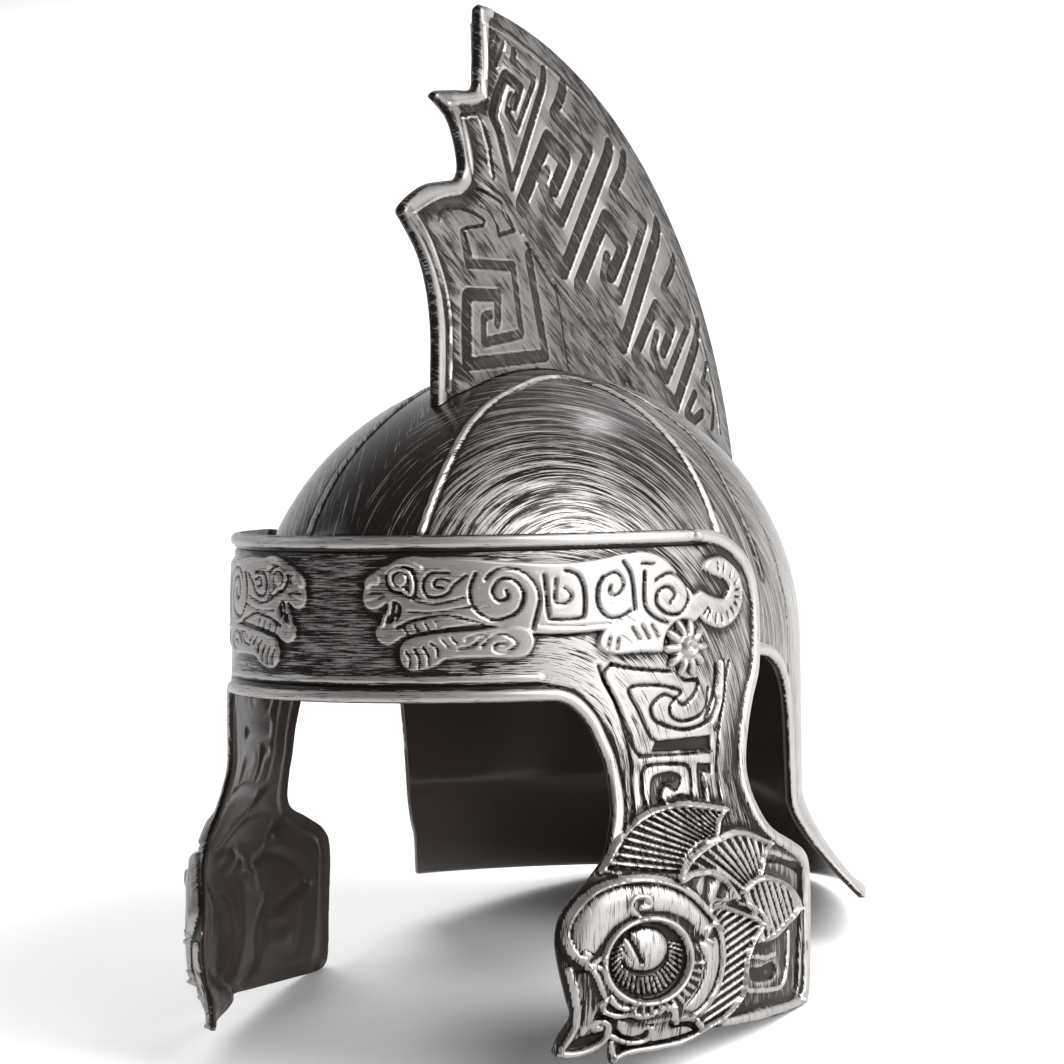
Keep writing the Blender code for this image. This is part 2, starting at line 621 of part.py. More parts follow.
def pad_back_x():
    """The flat inner end of the skull's pads, which stand a little inside its wall."""
    y, z = pivot_circle(PAD_RADIUS, HINGE_SIDES)
    return min(skull_side_x(yi, zi) for yi, zi in zip(y, z)) - PAD_DEPTH


def visor_boss(side):
    """A round boss from the hinge pad's plane into the middle of the face guard's wall."""
    y, z = pivot_circle(PAD_RADIUS, HINGE_SIDES)
    inner = np.full(HINGE_SIDES, pad_plane_x() + RUNNING_GAP / 2.0)
    outer = np.array([side_x(yi, zi, VISOR_WALL / 2.0) for yi, zi in zip(y, z)])
    rings = [np.stack([side * x, y, z], axis=1) for x in (inner, outer)]
    return drum_mesh(f"cut_visor_boss_{side}", rings, HINGE_SIDES)


def hinge_drill(name, side, radius, low, high):
    y, z = pivot_circle(radius, HINGE_SIDES)
    rings = [np.stack([np.full(HINGE_SIDES, side * x), y, z], axis=1) for x in (low, high)]
    return drum_mesh(name, rings, HINGE_SIDES)


def build_face_guard(material):
    outline = visor_outline()
    bead = edge_bead(outline)
    reliefs = both_sides(band_reliefs() + cheek_reliefs())
    lines = [line for relief in reliefs for line in relief_lines(relief)] + bead_lines(bead, outline)
    seat = circle_path(pivot_on_sheet(), ROSETTE_RADIUS + RELIEF_SLOPE, 16)
    lines += [(seat, True), (mirrored(seat), True)]
    flat, triangles, loop = triangulate(outline, grid_in(outline, lines, GRID_STEP), lines)
    back_outline = flat[loop]
    back_flat, back_triangles, back_loop = triangulate(
        back_outline, grid_in(back_outline, [], INNER_GRID_STEP), [])
    front = visor_surface(flat, relief_rise(flat, reliefs + [bead]) * rosette_seat(flat))
    back = visor_surface(back_flat, np.full(len(back_flat), -VISOR_WALL))
    guard = join_faces("face_guard", front, triangles, loop, back, back_triangles, back_loop, back_flat, flat)
    for side in (-1, 1):
        boolean(guard, visor_boss(side), "UNION")
        drill = hinge_drill(f"cut_visor_hole_{side}", side, SHANK_RADIUS + SEAT_GAP, 0.8 * BAND_HALF_WIDTH,
                            1.2 * BAND_HALF_WIDTH)
        boolean(guard, drill, "DIFFERENCE")
    guard.data.materials.append(material)
    return guard


# Skull

def neck_flare(z):
    """The neck guard's outward sweep, which steepens towards its lower edge."""
    share = np.clip((-z - (NECK_DEPTH - NECK_FLARE_DEPTH)) / NECK_FLARE_DEPTH, 0.0, 1.0)
    return NECK_FLARE * share ** 1.5


def skull_surface(points, standoff, wall=0.0):
    """The sheet's polar distance is the place on the profile from the crown down, its angle the way round.

    Below the rim the brow keeps the length it has at the rim, so that it stands upright behind the band.
    """
    travel = np.hypot(points[:, 0], points[:, 1])
    turn = np.arctan2(points[:, 0], -points[:, 1])
    over = np.minimum(travel, 1.0) * pi / 2.0
    under = np.maximum(travel - 1.0, 0.0) * DOME_RISE
    z = DOME_BASE_Z + (DOME_RISE - wall) * np.cos(over) - under
    flare = neck_flare(z)
    half_width = (DOME_HALF_WIDTH - wall) * np.sin(over) + flare
    half_length = (DOME_HALF_LENGTH - wall) * np.sin(over) + flare
    rim_share = sqrt(1.0 - (DOME_BASE_Z / (DOME_RISE - wall)) ** 2)
    brow_length = (DOME_HALF_LENGTH - wall) * rim_share
    front_length = np.where(z < 0.0, np.minimum(half_length, brow_length), half_length)
    length = np.where(np.cos(turn) > 0.0, front_length, half_length)
    ground = np.stack([half_width * np.sin(turn), DOME_CENTRE_Y - length * np.cos(turn), z], axis=1)
    lean = np.cos(over)
    normal = np.stack([np.sin(turn) * np.sin(over), -np.cos(turn) * np.sin(over), lean], axis=1)
    return ground + normal * np.asarray(standoff)[:, None]


def skull_side_x(y, z):
    """The skull's side in x at a place seen from the side, above the neck guard's flare."""
    height = np.clip((z - DOME_BASE_Z) / DOME_RISE, 0.0, 1.0)
    factor = sqrt(1.0 - height * height)
    return DOME_HALF_WIDTH * factor * sqrt(1.0 - ((y - DOME_CENTRE_Y) / (DOME_HALF_LENGTH * factor)) ** 2)


def travel_of_height(z):
    """The place on the skull's profile for a height, measured as the sheet's polar distance."""
    if z > DOME_BASE_Z:
        return acos((z - DOME_BASE_Z) / DOME_RISE) / (pi / 2.0)
    return 1.0 + (DOME_BASE_Z - z) / DOME_RISE


def polar(travel, turn):
    return np.array([travel * sin(turn), -travel * cos(turn)])


def skull_point_from_side(y, z):
    length = DOME_HALF_LENGTH + float(neck_flare(z))
    return polar(travel_of_height(z), acos(-(y - DOME_CENTRE_Y) / length))


def skull_point_from_plan(row):
    radius = min(hypot(row.wide, row.back), 1.0)
    return polar(asin(radius) / (pi / 2.0), atan2(row.wide, -row.back))


def skull_outline():
    """Half of the skull's lower edge, from the brow's centre over the ear to the nape, and its mirror."""
    ear = [
        skull_point_from_side(EAR_FRONT_Y + row.back * EAR_LENGTH, -row.drop * NECK_DEPTH) for row in EAR_CONTOUR
    ]
    brow_end = atan2(ear[0][0], -ear[0][1])
    brow = [polar(travel_of_height(-BROW_EDGE_DEPTH), turn) for turn in np.linspace(0.0, brow_end, 10)[:-1]]
    nape_start = atan2(ear[-1][0], -ear[-1][1])
    nape = [polar(travel_of_height(-NECK_DEPTH), turn) for turn in np.linspace(nape_start, pi, 14)[1:]]
    half = np.vstack([brow, ear, nape])
    return np.vstack([half, mirrored(half)[1:-1]])


def skull_grid(outline, lines, columns, rows):
    """Points on rings of the polar sheet, inside the outline and clear of the lines."""
    travels = np.linspace(0.0, travel_of_height(-NECK_DEPTH), rows)[1:-1]
    points = [np.zeros((1, 2))]
    for ring, travel in enumerate(travels):
        count = max(6, int(columns * min(1.0, 1.3 * travel)))
        turn = tau * (np.arange(count) + 0.5 * (ring % 2)) / count
        points.append(travel * np.stack([np.sin(turn), -np.cos(turn)], axis=1))
    grid = np.vstack(points)
    margin = GRID_MARGIN / DOME_RISE * 1.3
    keep = inside_path(grid, outline) & (distance_to_path(grid, outline, True) > margin)
    for line, closed in lines:
        keep &= distance_to_path(grid, line, closed) > margin
    return grid[keep]


def gore_reliefs():
    reliefs = []
    slope = GORE_RIDGE_SLOPE / DOME_RISE
    for rows in (FRONT_GORE, REAR_GORE):
        path = np.array([skull_point_from_plan(row) for row in rows])
        for line in (path, mirrored(path)):
            reliefs.append(Relief(line, 0.0, slope, GORE_RIDGE_HEIGHT, False, False))
    return reliefs


def build_skull(material):
    outline = skull_outline()
    reliefs = gore_reliefs()
    inward = 1.0 if signed_area(outline) > 0 else -1.0
    bead_share = BEAD_WIDTH / DOME_RISE
    bead = Relief(offset_path(outline, inward * bead_share / 2.0, True), 0.0, bead_share / 2.0, BEAD_HEIGHT,
                  True, False)
    lines = [line for relief in reliefs for line in relief_lines(relief)]
    lines += [(bead.path, True), (offset_path(outline, inward * bead_share, True), True)]
    flat, triangles, loop = triangulate(outline, skull_grid(outline, lines, SKULL_COLUMNS, SKULL_ROWS), lines)
    back_outline = flat[loop]
    back_flat, back_triangles, back_loop = triangulate(
        back_outline, skull_grid(back_outline, [], 3 * SKULL_COLUMNS // 4, 3 * SKULL_ROWS // 4), [])
    front = skull_surface(flat, relief_rise(flat, reliefs + [bead]))
    back = skull_surface(back_flat, np.zeros(len(back_flat)), SKULL_WALL)
    skull = join_faces("skull", front, triangles, loop, back, back_triangles, back_loop, back_flat, flat)
    pad_face = pad_plane_x() - RUNNING_GAP / 2.0
    for side in (-1, 1):
        boolean(skull, hinge_drill(f"cut_skull_pad_{side}", side, PAD_RADIUS, pad_back_x(), pad_face), "UNION")
        drill = hinge_drill(f"cut_skull_hole_{side}", side, SHANK_RADIUS + SEAT_GAP, 0.6 * DOME_HALF_WIDTH,
                            1.1 * DOME_HALF_WIDTH)
        boolean(skull, drill, "DIFFERENCE")
    skull.data.materials.append(material)
    return skull


# Crest

def crest_foot_point(angle):
    """A point of the dome's centre line, raised by the seat gap, at an angle from the front over the crown."""
    y = DOME_CENTRE_Y - (DOME_HALF_LENGTH + SEAT_GAP) * cos(angle)
    z = DOME_BASE_Z + (DOME_RISE + SEAT_GAP) * sin(angle)
    return np.array([y, z])


def crest_outline():
    """The prongs up the front, the rear arc down to the tail, and the foot along the dome."""
    prongs = fin_points(CREST_PRONGS)
    tip = fin_points([CREST_TIP])[0]
    tail = np.array([CREST_FRONT_Y + 0.988 * CREST_LENGTH, CREST_TAIL_Z])
    half_chord = (tail - tip) / 2.0
    across = np.array([half_chord[1], -half_chord[0]]) / np.linalg.norm(half_chord)
    centre = tip + half_chord + across * sqrt(CREST_ARC_RADIUS ** 2 - float(half_chord @ half_chord))
    start = atan2(*(tip - centre)[::-1])
    end = atan2(*(tail - centre)[::-1])
    arc = [centre + CREST_ARC_RADIUS * np.array([cos(a), sin(a)]) for a in np.linspace(start, end, 15)]
    front_foot = acos((DOME_CENTRE_Y - CREST_FRONT_Y) / DOME_HALF_LENGTH)
    rear_foot = pi - asin((CREST_TAIL_Z - CREST_TAIL_DEPTH - DOME_BASE_Z) / DOME_RISE)
    foot = [crest_foot_point(a) for a in np.linspace(rear_foot, front_foot, CREST_FOOT_POINTS)]
    corner = tail + np.array([-0.1, -0.42]) * CREST_TAIL_DEPTH
    return np.vstack([prongs, arc, [corner], foot])


def unit_path(rows, index):
    """A meander unit's rows placed on the diagonal row that follows the rear arc."""
    pitch = UNIT_PITCH * UNIT_SCALES[index]
    along, across = np.array(ROW_DIRECTION), np.array(BAR_DIRECTION)
    centre = fin_points([FIRST_UNIT])[0] + index * UNIT_PITCH * along + crest_row_bow(index)
    return np.array([centre + pitch * (row.along * along + row.across * across) for row in rows])


def crest_row_bow(index):
    """How far the row of units swings down at its far end, to follow the arc."""
    share = index / (UNIT_COUNT - 1)
    return np.array(ROW_BOW) * CREST_LENGTH * share * share


def crest_reliefs():
    """The square spiral, the front border and the rhombic units, whose mirrored copies are the other side's."""
    reliefs = [
        strip(fin_points(SQUARE_SPIRAL), CREST_BAR_WIDTH, RELIEF_HEIGHT),
        strip(fin_points(FRONT_BORDER), 0.0, RELIEF_HEIGHT, BORDER_SLOPE),
    ]
    for index in range(UNIT_COUNT):
        unit_width = CREST_BAR_WIDTH * UNIT_SCALES[index]
        reliefs.append(strip(unit_path(RHOMB_SPIRAL, index), unit_width, RELIEF_HEIGHT))
        if index < UNIT_COUNT - 1:
            reliefs.append(strip(unit_path(RHOMB_BAR, index), unit_width, RELIEF_HEIGHT))
    return reliefs


def crest_half_thickness(points, outline):
    """Half the crest's thickness, rounded down towards its free edge."""
    away = np.clip(distance_to_path(points, outline, True) / CREST_EDGE_RADIUS, 0.0, 1.0)
    return CREST_THICKNESS / 2.0 - CREST_EDGE_RADIUS * (1.0 - np.sqrt(1.0 - (1.0 - away) ** 2))


def build_crest(material):
    outline = crest_outline()
    reliefs = crest_reliefs()
    lines = [line for relief in reliefs for line in relief_lines(relief)]
    inward = 1.0 if signed_area(outline) > 0 else -1.0
    lines.append((offset_path(outline, inward * 0.4 * CREST_EDGE_RADIUS, True), True))
    lines.append((offset_path(outline, inward * CREST_EDGE_RADIUS, True), True))
    flat, triangles, loop = triangulate(outline, np.zeros((0, 2)), lines)
    edge_share = np.clip(distance_to_path(flat, outline, True) / CREST_EDGE_RADIUS, 0.0, 1.0)
    half = crest_half_thickness(flat, outline) + relief_rise(flat, reliefs) * edge_share
    left = np.stack([half, flat[:, 0], flat[:, 1]], axis=1)
    right = left * (-1.0, 1.0, 1.0)
    crest = join_faces("crest", left, triangles, loop, right, triangles, loop, flat, flat)
    boolean(crest, crest_hollow(outline), "DIFFERENCE")
    crest.data.materials.append(material)
    return crest


def crest_hollow(outline):
    """The crest's inside: its outline moved in by a wall, and out through the open foot."""
    inward = 1.0 if signed_area(outline) > 0 else -1.0
    inset = offset_path(outline, inward * (CREST_WALL + 0.3 * CREST_EDGE_RADIUS), True)
    foot_start = len(outline) - CREST_FOOT_POINTS
    foot = offset_path(outline, -2.0 * inward * CREST_WALL, True)[foot_start + 1:-1]
    path = np.vstack([inset[:foot_start - 1], foot])
    half = CREST_THICKNESS / 2.0 - CREST_WALL
    rings = [np.stack([np.full(len(path), x), path[:, 0], path[:, 1]], axis=1) for x in (-half, half)]
    return drum_mesh("cut_crest_hollow", rings, len(path))


# Rosettes

def build_rosette(name, side, material):
    """A star-headed rivet: folded petals round a ringed centre, a shank and a button inside the skull."""
    sides = 2 * ROSETTE_PETALS
    angle = tau * np.arange(sides) / sides
    petal = np.where(np.arange(sides) % 2 == 0, 1.0, 0.68)
    fold = np.where(np.arange(sides) % 2 == 0, 1.0, 0.55)
    tilt = side_turn(PIVOT_Y, PIVOT_Z)
    base = side_x(PIVOT_Y, PIVOT_Z, 0.0)

    def head_ring(radius, height):
        points = np.stack([height * np.ones(sides), radius * np.cos(angle), radius * np.sin(angle)], axis=1)
        turned = np.array([tuple(tilt @ Vector(point)) for point in points])
        return turned + (base, PIVOT_Y, PIVOT_Z)

    def shank_ring(radius, x):
        return np.stack([np.full(sides, x), PIVOT_Y + radius * np.cos(angle), PIVOT_Z + radius * np.sin(angle)],
                        axis=1)

    button_face = pad_back_x() - RUNNING_GAP
    rings = [
        head_ring(0.10 * ROSETTE_RADIUS, ROSETTE_RISE),
        head_ring(0.22 * ROSETTE_RADIUS, 0.96 * ROSETTE_RISE),
        head_ring(0.34 * ROSETTE_RADIUS, 0.78 * ROSETTE_RISE),
        head_ring(0.38 * ROSETTE_RADIUS, 0.52 * ROSETTE_RISE),
        head_ring(0.62 * ROSETTE_RADIUS, 0.52 * ROSETTE_RISE * fold),
        head_ring(ROSETTE_RADIUS * petal, SEAT_GAP + 0.16 * ROSETTE_RISE),
        head_ring(ROSETTE_RADIUS * petal, SEAT_GAP),
        head_ring(SHANK_RADIUS, SEAT_GAP),
        shank_ring(SHANK_RADIUS, base - 1.2 * VISOR_WALL),
        shank_ring(SHANK_RADIUS, button_face),
        shank_ring(BUTTON_RADIUS, button_face),
        shank_ring(BUTTON_RADIUS, button_face - BUTTON_THICKNESS),
    ]
    rosette = drum_mesh(name, [ring * (side, 1.0, 1.0) for ring in rings], sides)
    rosette.data.materials.append(material)
    return rosette


# Stance

def evaluated_points(objects):
    """The finished pieces' vertices, before the helmet is leaned back."""
    graph = bpy.context.evaluated_depsgraph_get()
    points = []
    for obj in objects:
        mesh = obj.evaluated_get(graph).to_mesh()
        points.append(np.array([tuple(obj.matrix_world @ vertex.co) for vertex in mesh.vertices]))
        obj.evaluated_get(graph).to_mesh_clear()
    return points


def leaned(points, angle):
    y = points[:, 1] * cos(angle) + points[:, 2] * sin(angle)
    z = -points[:, 1] * sin(angle) + points[:, 2] * cos(angle)
    return np.stack([points[:, 0], y, z], axis=1)


def resting_lean(skull_points, guard_points):
    """The lean at which the neck guard and the cheek guards stand on one floor, by bisection."""
    low, high = 0.0, pi / 4.0
    for _ in range(40):
        middle = (low + high) / 2.0
        if leaned(guard_points, middle)[:, 2].min() < leaned(skull_points, middle)[:, 2].min():
            low = middle
        else:
            high = middle
    return (low + high) / 2.0


def hang_on(obj, parent):
    """Parent a piece whose mesh is in the upright helmet frame, with its origin at the parent's."""
    obj.data.transform(Matrix.Translation(-parent.location))
    obj.parent = parent


def stand_helmet(skull, crest, guard, rosettes):
    bpy.context.view_layer.update()
    skull_points, crest_points, guard_points = evaluated_points([skull, crest, guard])
    lean = resting_lean(skull_points, guard_points)
    everything = leaned(np.vstack([skull_points, crest_points, guard_points]), lean)
    low, high = everything.min(axis=0), everything.max(axis=0)
    stance = bpy.data.objects.new("stance", None)
    stance.rotation_euler = (-lean, 0.0, 0.0)
    stance.location = (-(low[0] + high[0]) / 2.0, -(low[1] + high[1]) / 2.0, -low[2])
    hinge = bpy.data.objects.new("temple_hinge", None)
    hinge.location = (0.0, PIVOT_Y, PIVOT_Z)
    hinge.parent = stance
    for empty in (stance, hinge):
        bpy.context.scene.collection.objects.link(empty)
    for obj in list(bpy.data.objects):
        if obj.type != "MESH":
            continue
        if obj in (guard, *rosettes) or obj.name.startswith("cut_visor"):
            hang_on(obj, hinge)
        else:
            obj.parent = stance


def shade(objects):
    for obj in objects:
        obj.data.shade_smooth()
        obj.data.set_sharp_from_angle(angle=pi / 5.0)


def main():
    clear_scene()
    silvered = make_material("silvered_plastic", (0.30, 0.29, 0.29), 0.32, 0.75)
    skull = build_skull(silvered)
    crest = build_crest(silvered)
    guard = build_face_guard(silvered)
    rosettes = [build_rosette(f"rosette_{word}", side, silvered) for word, side in (("right", -1), ("left", 1))]
    shade([skull, crest, guard, *rosettes])
    stand_helmet(skull, crest, guard, rosettes)


main()
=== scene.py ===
"""Gladiator helmet: the finished surfaces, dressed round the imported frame.

Every surface is a function of two parameters on a regular grid. The face guard is a developed sheet
(distance round the brow, height) bent round an ellipse; the skull is a polar sheet over a profile; the
crest is flat. The relief is a height over each sheet, put together from strokes. Shapes are worked out
upright, in metres, with z = 0 at the brow band's rim, and then leaned back on to the frame's resting edges.
"""

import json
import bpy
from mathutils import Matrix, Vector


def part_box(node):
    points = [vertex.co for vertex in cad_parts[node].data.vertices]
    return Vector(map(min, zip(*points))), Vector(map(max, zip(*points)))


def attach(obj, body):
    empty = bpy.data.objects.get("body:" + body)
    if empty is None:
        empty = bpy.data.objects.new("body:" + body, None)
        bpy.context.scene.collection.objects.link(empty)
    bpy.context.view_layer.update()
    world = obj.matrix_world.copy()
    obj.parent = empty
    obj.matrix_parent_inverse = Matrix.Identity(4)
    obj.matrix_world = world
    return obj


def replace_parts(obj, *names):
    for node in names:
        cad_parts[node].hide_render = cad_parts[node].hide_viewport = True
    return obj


bl_info = {
    "name": "Gladiator helmet",
    "version": (1, 0, 0),
    "blender": (4, 5, 0),
    "location": "View3D > Sidebar > Helmet",
    "description": "Crest, skull, face guard and rosettes of a gladiator helmet in silvered plastic",
    "category": "Object",
}

from collections import namedtuple
from math import acos, asin, atan2, cos, hypot, pi, radians, sin, sqrt, tau

import bmesh
import bpy
import numpy as np
from bpy.props import FloatProperty, FloatVectorProperty, IntProperty, PointerProperty
from mathutils import Matrix, Vector

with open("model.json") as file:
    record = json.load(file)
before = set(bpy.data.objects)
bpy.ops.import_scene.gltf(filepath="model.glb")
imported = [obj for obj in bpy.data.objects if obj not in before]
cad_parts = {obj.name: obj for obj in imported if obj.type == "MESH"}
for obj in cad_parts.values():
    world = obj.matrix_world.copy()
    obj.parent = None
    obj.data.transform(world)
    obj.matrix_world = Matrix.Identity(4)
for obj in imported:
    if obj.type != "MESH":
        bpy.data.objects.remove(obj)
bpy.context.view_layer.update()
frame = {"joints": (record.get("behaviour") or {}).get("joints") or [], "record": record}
MM = 0.001

# Face guard
BAND_HALF_WIDTH = 98 * MM
BAND_HALF_LENGTH = 117 * MM
BAND_DRIFT = 0.045
DRIFT_DEPTH = 93.75 * MM
CHEEK_FLARE = 8.5 * MM
CHEEK_FLARE_TOP = 84 * MM
CHEEK_FLARE_DEPTH = 38 * MM
GUARD_WALL = 2.0 * MM
BOSS_RISE = 5.0 * MM
BOSS_RADIUS = 27.5 * MM
BOSS_CENTRE = np.array([103.5, -146.0]) * MM

# Skull
DOME_HALF_WIDTH = 93 * MM
DOME_HALF_LENGTH = 125 * MM
DOME_RISE = 104 * MM
DOME_CENTRE_Y = 8.7 * MM
DOME_BASE_Z = -45 * MM
SKULL_WALL = 2.2 * MM
BROW_EDGE_Z = -56 * MM
NECK_EDGE_Z = -143 * MM
NECK_FLARE = 24 * MM
NECK_FLARE_DEPTH = 40 * MM
HUB_TURN = 49.0

# Crest
CREST_HALF = 6.0 * MM
CREST_NOSE = 1.6 * MM
CREST_WALL = 2.2 * MM
CREST_ARC_RADIUS = 219 * MM
CREST_THINNING = 22 * MM
CREST_EDGE_ROUND = 1.8 * MM
CREST_BRUSH_SLANT = radians(-38)
SEAT_GAP = 0.3 * MM

# Hinge
PIVOT_Y = -37.5 * MM
PIVOT_Z = -42 * MM
ROSETTE_RADIUS = 10.5 * MM
ROSETTE_RISE = 4.6 * MM
ROSETTE_PETALS = 10
SHANK_RADIUS = 2.4 * MM
BUTTON_RADIUS = 5.5 * MM

# Camera, placed in the upright helmet's frame
CAMERA_PLACE = Vector((848.65, -1301.06, 37.42)) * MM
CAMERA_TURN = radians(32.900)
CAMERA_RISE = radians(1.460)
CAMERA_ROLL = radians(-0.920)
CAMERA_LENS = 140.1

SIDES = (("left", 1), ("right", -1))

# The paint's cover runs from 0, bare, to 1, full; the unpainted inside has a mark below them
INSIDE = -1.0


# Stance: the lean is the tilt of the frame's head seat, and the hinge says where the helmet stands

def stance():
    """The upright helmet's place: leaned by the head seat's tilt, with its hinge on the frame's joint."""
    axis = frame["record"]["mounts"][0]["axis"]
    pivot = frame["joints"][0]["pos_m"]
    lean = atan2(axis[1], axis[2])
    turn = Matrix.Rotation(-lean, 4, "X")
    place = Vector(pivot) - turn @ Vector((0.0, PIVOT_Y, PIVOT_Z))
    return Matrix.Translation(place) @ turn


STANCE = stance()


def stand(points):
    """Upright points leaned back about X and moved to the frame's stance."""
    matrix = np.array(STANCE)
    return points @ matrix[:3, :3].T + matrix[:3, 3]


# Plane curves

def path(*numbers):
    """Points from a flat list of millimetres: place, height, place, height."""
    return np.array(numbers, float).reshape(-1, 2) * MM


def curve(*numbers, closed=False, samples=6):
    """A smooth path through its points: each run is a cubic, with half the chords round it as end slopes."""
    points = path(*numbers)
    before = np.roll(points, 1, axis=0)
    after = np.roll(points, -1, axis=0)
    if not closed:
        before[0], after[-1] = points[0], points[-1]
    slope = (after - before) / 2.0
    share = (np.arange(samples) / samples)[None, :, None]
    start, end = points[:, None], np.roll(points, -1, axis=0)[:, None]
    run_in, run_out = slope[:, None], np.roll(slope, -1, axis=0)[:, None]
    square, cube = share ** 2, share ** 3
    smooth_runs = ((2 * cube - 3 * square + 1) * start + (cube - 2 * square + share) * run_in
                   + (3 * square - 2 * cube) * end + (cube - square) * run_out)
    if closed:
        return smooth_runs.reshape(-1, 2)
    return np.vstack([smooth_runs[:-1].reshape(-1, 2), points[-1:]])


def spiral(centre, radius, turns, start, last=0.22, samples=40):
    """A curl: the radius falls evenly from its first value to a last share as the angle goes round."""
    share = np.linspace(0.0, 1.0, samples)
    angle = tau * (start + turns * share)
    reach = radius * (1.0 - (1.0 - last) * share)
    return (np.array(centre) + np.stack([reach * np.cos(angle), reach * np.sin(angle)], axis=1)) * MM


def ring(centre, radius, sides=64, stretch=1.0):
    """A closed circle, or an ellipse when it is stretched across."""
    angle = tau * np.arange(sides) / sides
    return (np.array(centre) + radius * np.stack([stretch * np.cos(angle), np.sin(angle)], axis=1)) * MM


def nearest_on_path(points, line, closed):
    """Distance from each point to a path, and the nearest point on it."""
    start = line if closed else line[:-1]
    end = np.roll(line, -1, axis=0) if closed else line[1:]
    run = end - start
    offset = points[:, None, :] - start[None]
    share = np.clip(np.sum(offset * run, axis=2) / np.maximum(np.sum(run * run, axis=1), 1e-18), 0.0, 1.0)
    foot = start[None] + share[:, :, None] * run
    away = np.sum((points[:, None, :] - foot) ** 2, axis=2)
    best = np.argmin(away, axis=1)
    rows = np.arange(len(points))
    return np.sqrt(away[rows, best]), foot[rows, best]


def distance(points, line, closed, reach):
    """Distance to a path for the points within a reach of its box, and a large value elsewhere."""
    low, high = line.min(axis=0) - reach, line.max(axis=0) + reach
    near = np.all((points >= low) & (points <= high), axis=1)
    away = np.full(len(points), 1.0)
    if near.any():
        away[near] = nearest_on_path(points[near], line, closed)[0]
    return away


def inside(points, line):
    """Even-odd test against a closed path."""
    result = np.zeros(len(points), bool)
    low, high = line.min(axis=0), line.max(axis=0)
    near = np.all((points >= low) & (points <= high), axis=1)
    if not near.any():
        return result
    x, y = points[near, 0:1], points[near, 1:2]
    end = np.roll(line, -1, axis=0)
    spans = (line[:, 1] > y) != (end[:, 1] > y)
    rise = np.where(end[:, 1] == line[:, 1], 1.0, end[:, 1] - line[:, 1])
    crossing = line[:, 0] + (y - line[:, 1]) * (end[:, 0] - line[:, 0]) / rise
    result[near] = np.sum(spans & (x < crossing), axis=1) % 2 == 1
    return result


def depth_inside(points, line, reach):
    """Signed distance to a closed path, positive inside."""
    away = distance(points, line, True, reach)
    return np.where(inside(points, line), away, -away)


def smooth(share):
    """Zero at 0 and one at 1, level at both ends."""
    share = np.clip(share, 0.0, 1.0)
    return share * share * (3.0 - 2.0 * share)


# Relief strokes. Widths and heights are in millimetres.

Ridge = namedtuple("Ridge", "line width height closed", defaults=(False,))      # a rounded strip
Groove = namedtuple("Groove", "line width depth closed", defaults=(False,))     # an engraved line
Channel = namedtuple("Channel", "line width depth edge", defaults=(0.9,))       # a flat-bottomed sunk strip
Plate = namedtuple("Plate", "line height edge", defaults=(0.9,))                # a raised flat area
Sink = namedtuple("Sink", "line depth edge", defaults=(0.9,))                   # a sunk flat area
Swell = namedtuple("Swell", "line height width")                                # a pillow, high in the middle
Fan = namedtuple("Fan", "line rim centre pitch depth")                          # ribs from a centre to a rim
Bars = namedtuple("Bars", "line direction pitch depth")                         # straight ribs


def carve(points, strokes, height=None):
    """Height over the sheet, with the strokes put on in order."""
    height = np.zeros(len(points)) if height is None else height
    for stroke in strokes:
        if isinstance(stroke, (Ridge, Groove)):
            reach = stroke.width / 2.0 * MM
            share = np.clip(distance(points, stroke.line, stroke.closed, reach * 1.2) / reach, 0.0, 1.0)
            if isinstance(stroke, Ridge):
                height = height + stroke.height * MM * np.sqrt(1.0 - share ** 2) * smooth((1.0 - share) * 4.0)
            else:
                height = height - stroke.depth * MM * (1.0 - share) ** 1.2
            continue
        if isinstance(stroke, Channel):
            away = distance(points, stroke.line, False, (stroke.width / 2.0 + 2.0) * MM)
            from_side = stroke.width / 2.0 * MM - away
            height = height - stroke.depth * MM * smooth(from_side / (stroke.edge * MM) + 0.5)
            continue
        if isinstance(stroke, (Plate, Sink)):
            depth = depth_inside(points, stroke.line, 2.0 * stroke.edge * MM)
            rise = smooth(depth / (stroke.edge * MM) + 0.5)
            if isinstance(stroke, Plate):
                height = np.maximum(height, stroke.height * MM * rise + height * (1.0 - rise))
            else:
                height = height - stroke.depth * MM * rise
            continue
        depth = depth_inside(points, stroke.line, 0.0)
        if isinstance(stroke, Swell):
            share = np.clip(depth / (stroke.width * MM), 0.0, 1.0)
            height = height + stroke.height * MM * np.sqrt(1.0 - (1.0 - share) ** 2)
            continue
        edge = smooth((depth - 0.9 * MM) / (0.8 * MM))
        if isinstance(stroke, Fan):
            centre = np.array(stroke.centre) * MM
            angle = np.arctan2(points[:, 1] - centre[1], points[:, 0] - centre[0]) % tau
            rim_angle = np.arctan2(stroke.rim[:, 1] - centre[1], stroke.rim[:, 0] - centre[0]) % tau
            along = np.concatenate([[0.0], np.cumsum(np.linalg.norm(np.diff(stroke.rim, axis=0), axis=1))])
            wave = np.cos(np.interp(angle, rim_angle[::-1], along[::-1]) * tau / (stroke.pitch * MM))
        else:
            across = np.array([-stroke.direction[1], stroke.direction[0]]) / hypot(*stroke.direction)
            wave = np.cos(points @ across * tau / (stroke.pitch * MM))
        height = height - stroke.depth * MM * edge * (0.5 - 0.5 * wave) ** 1.4
    return height


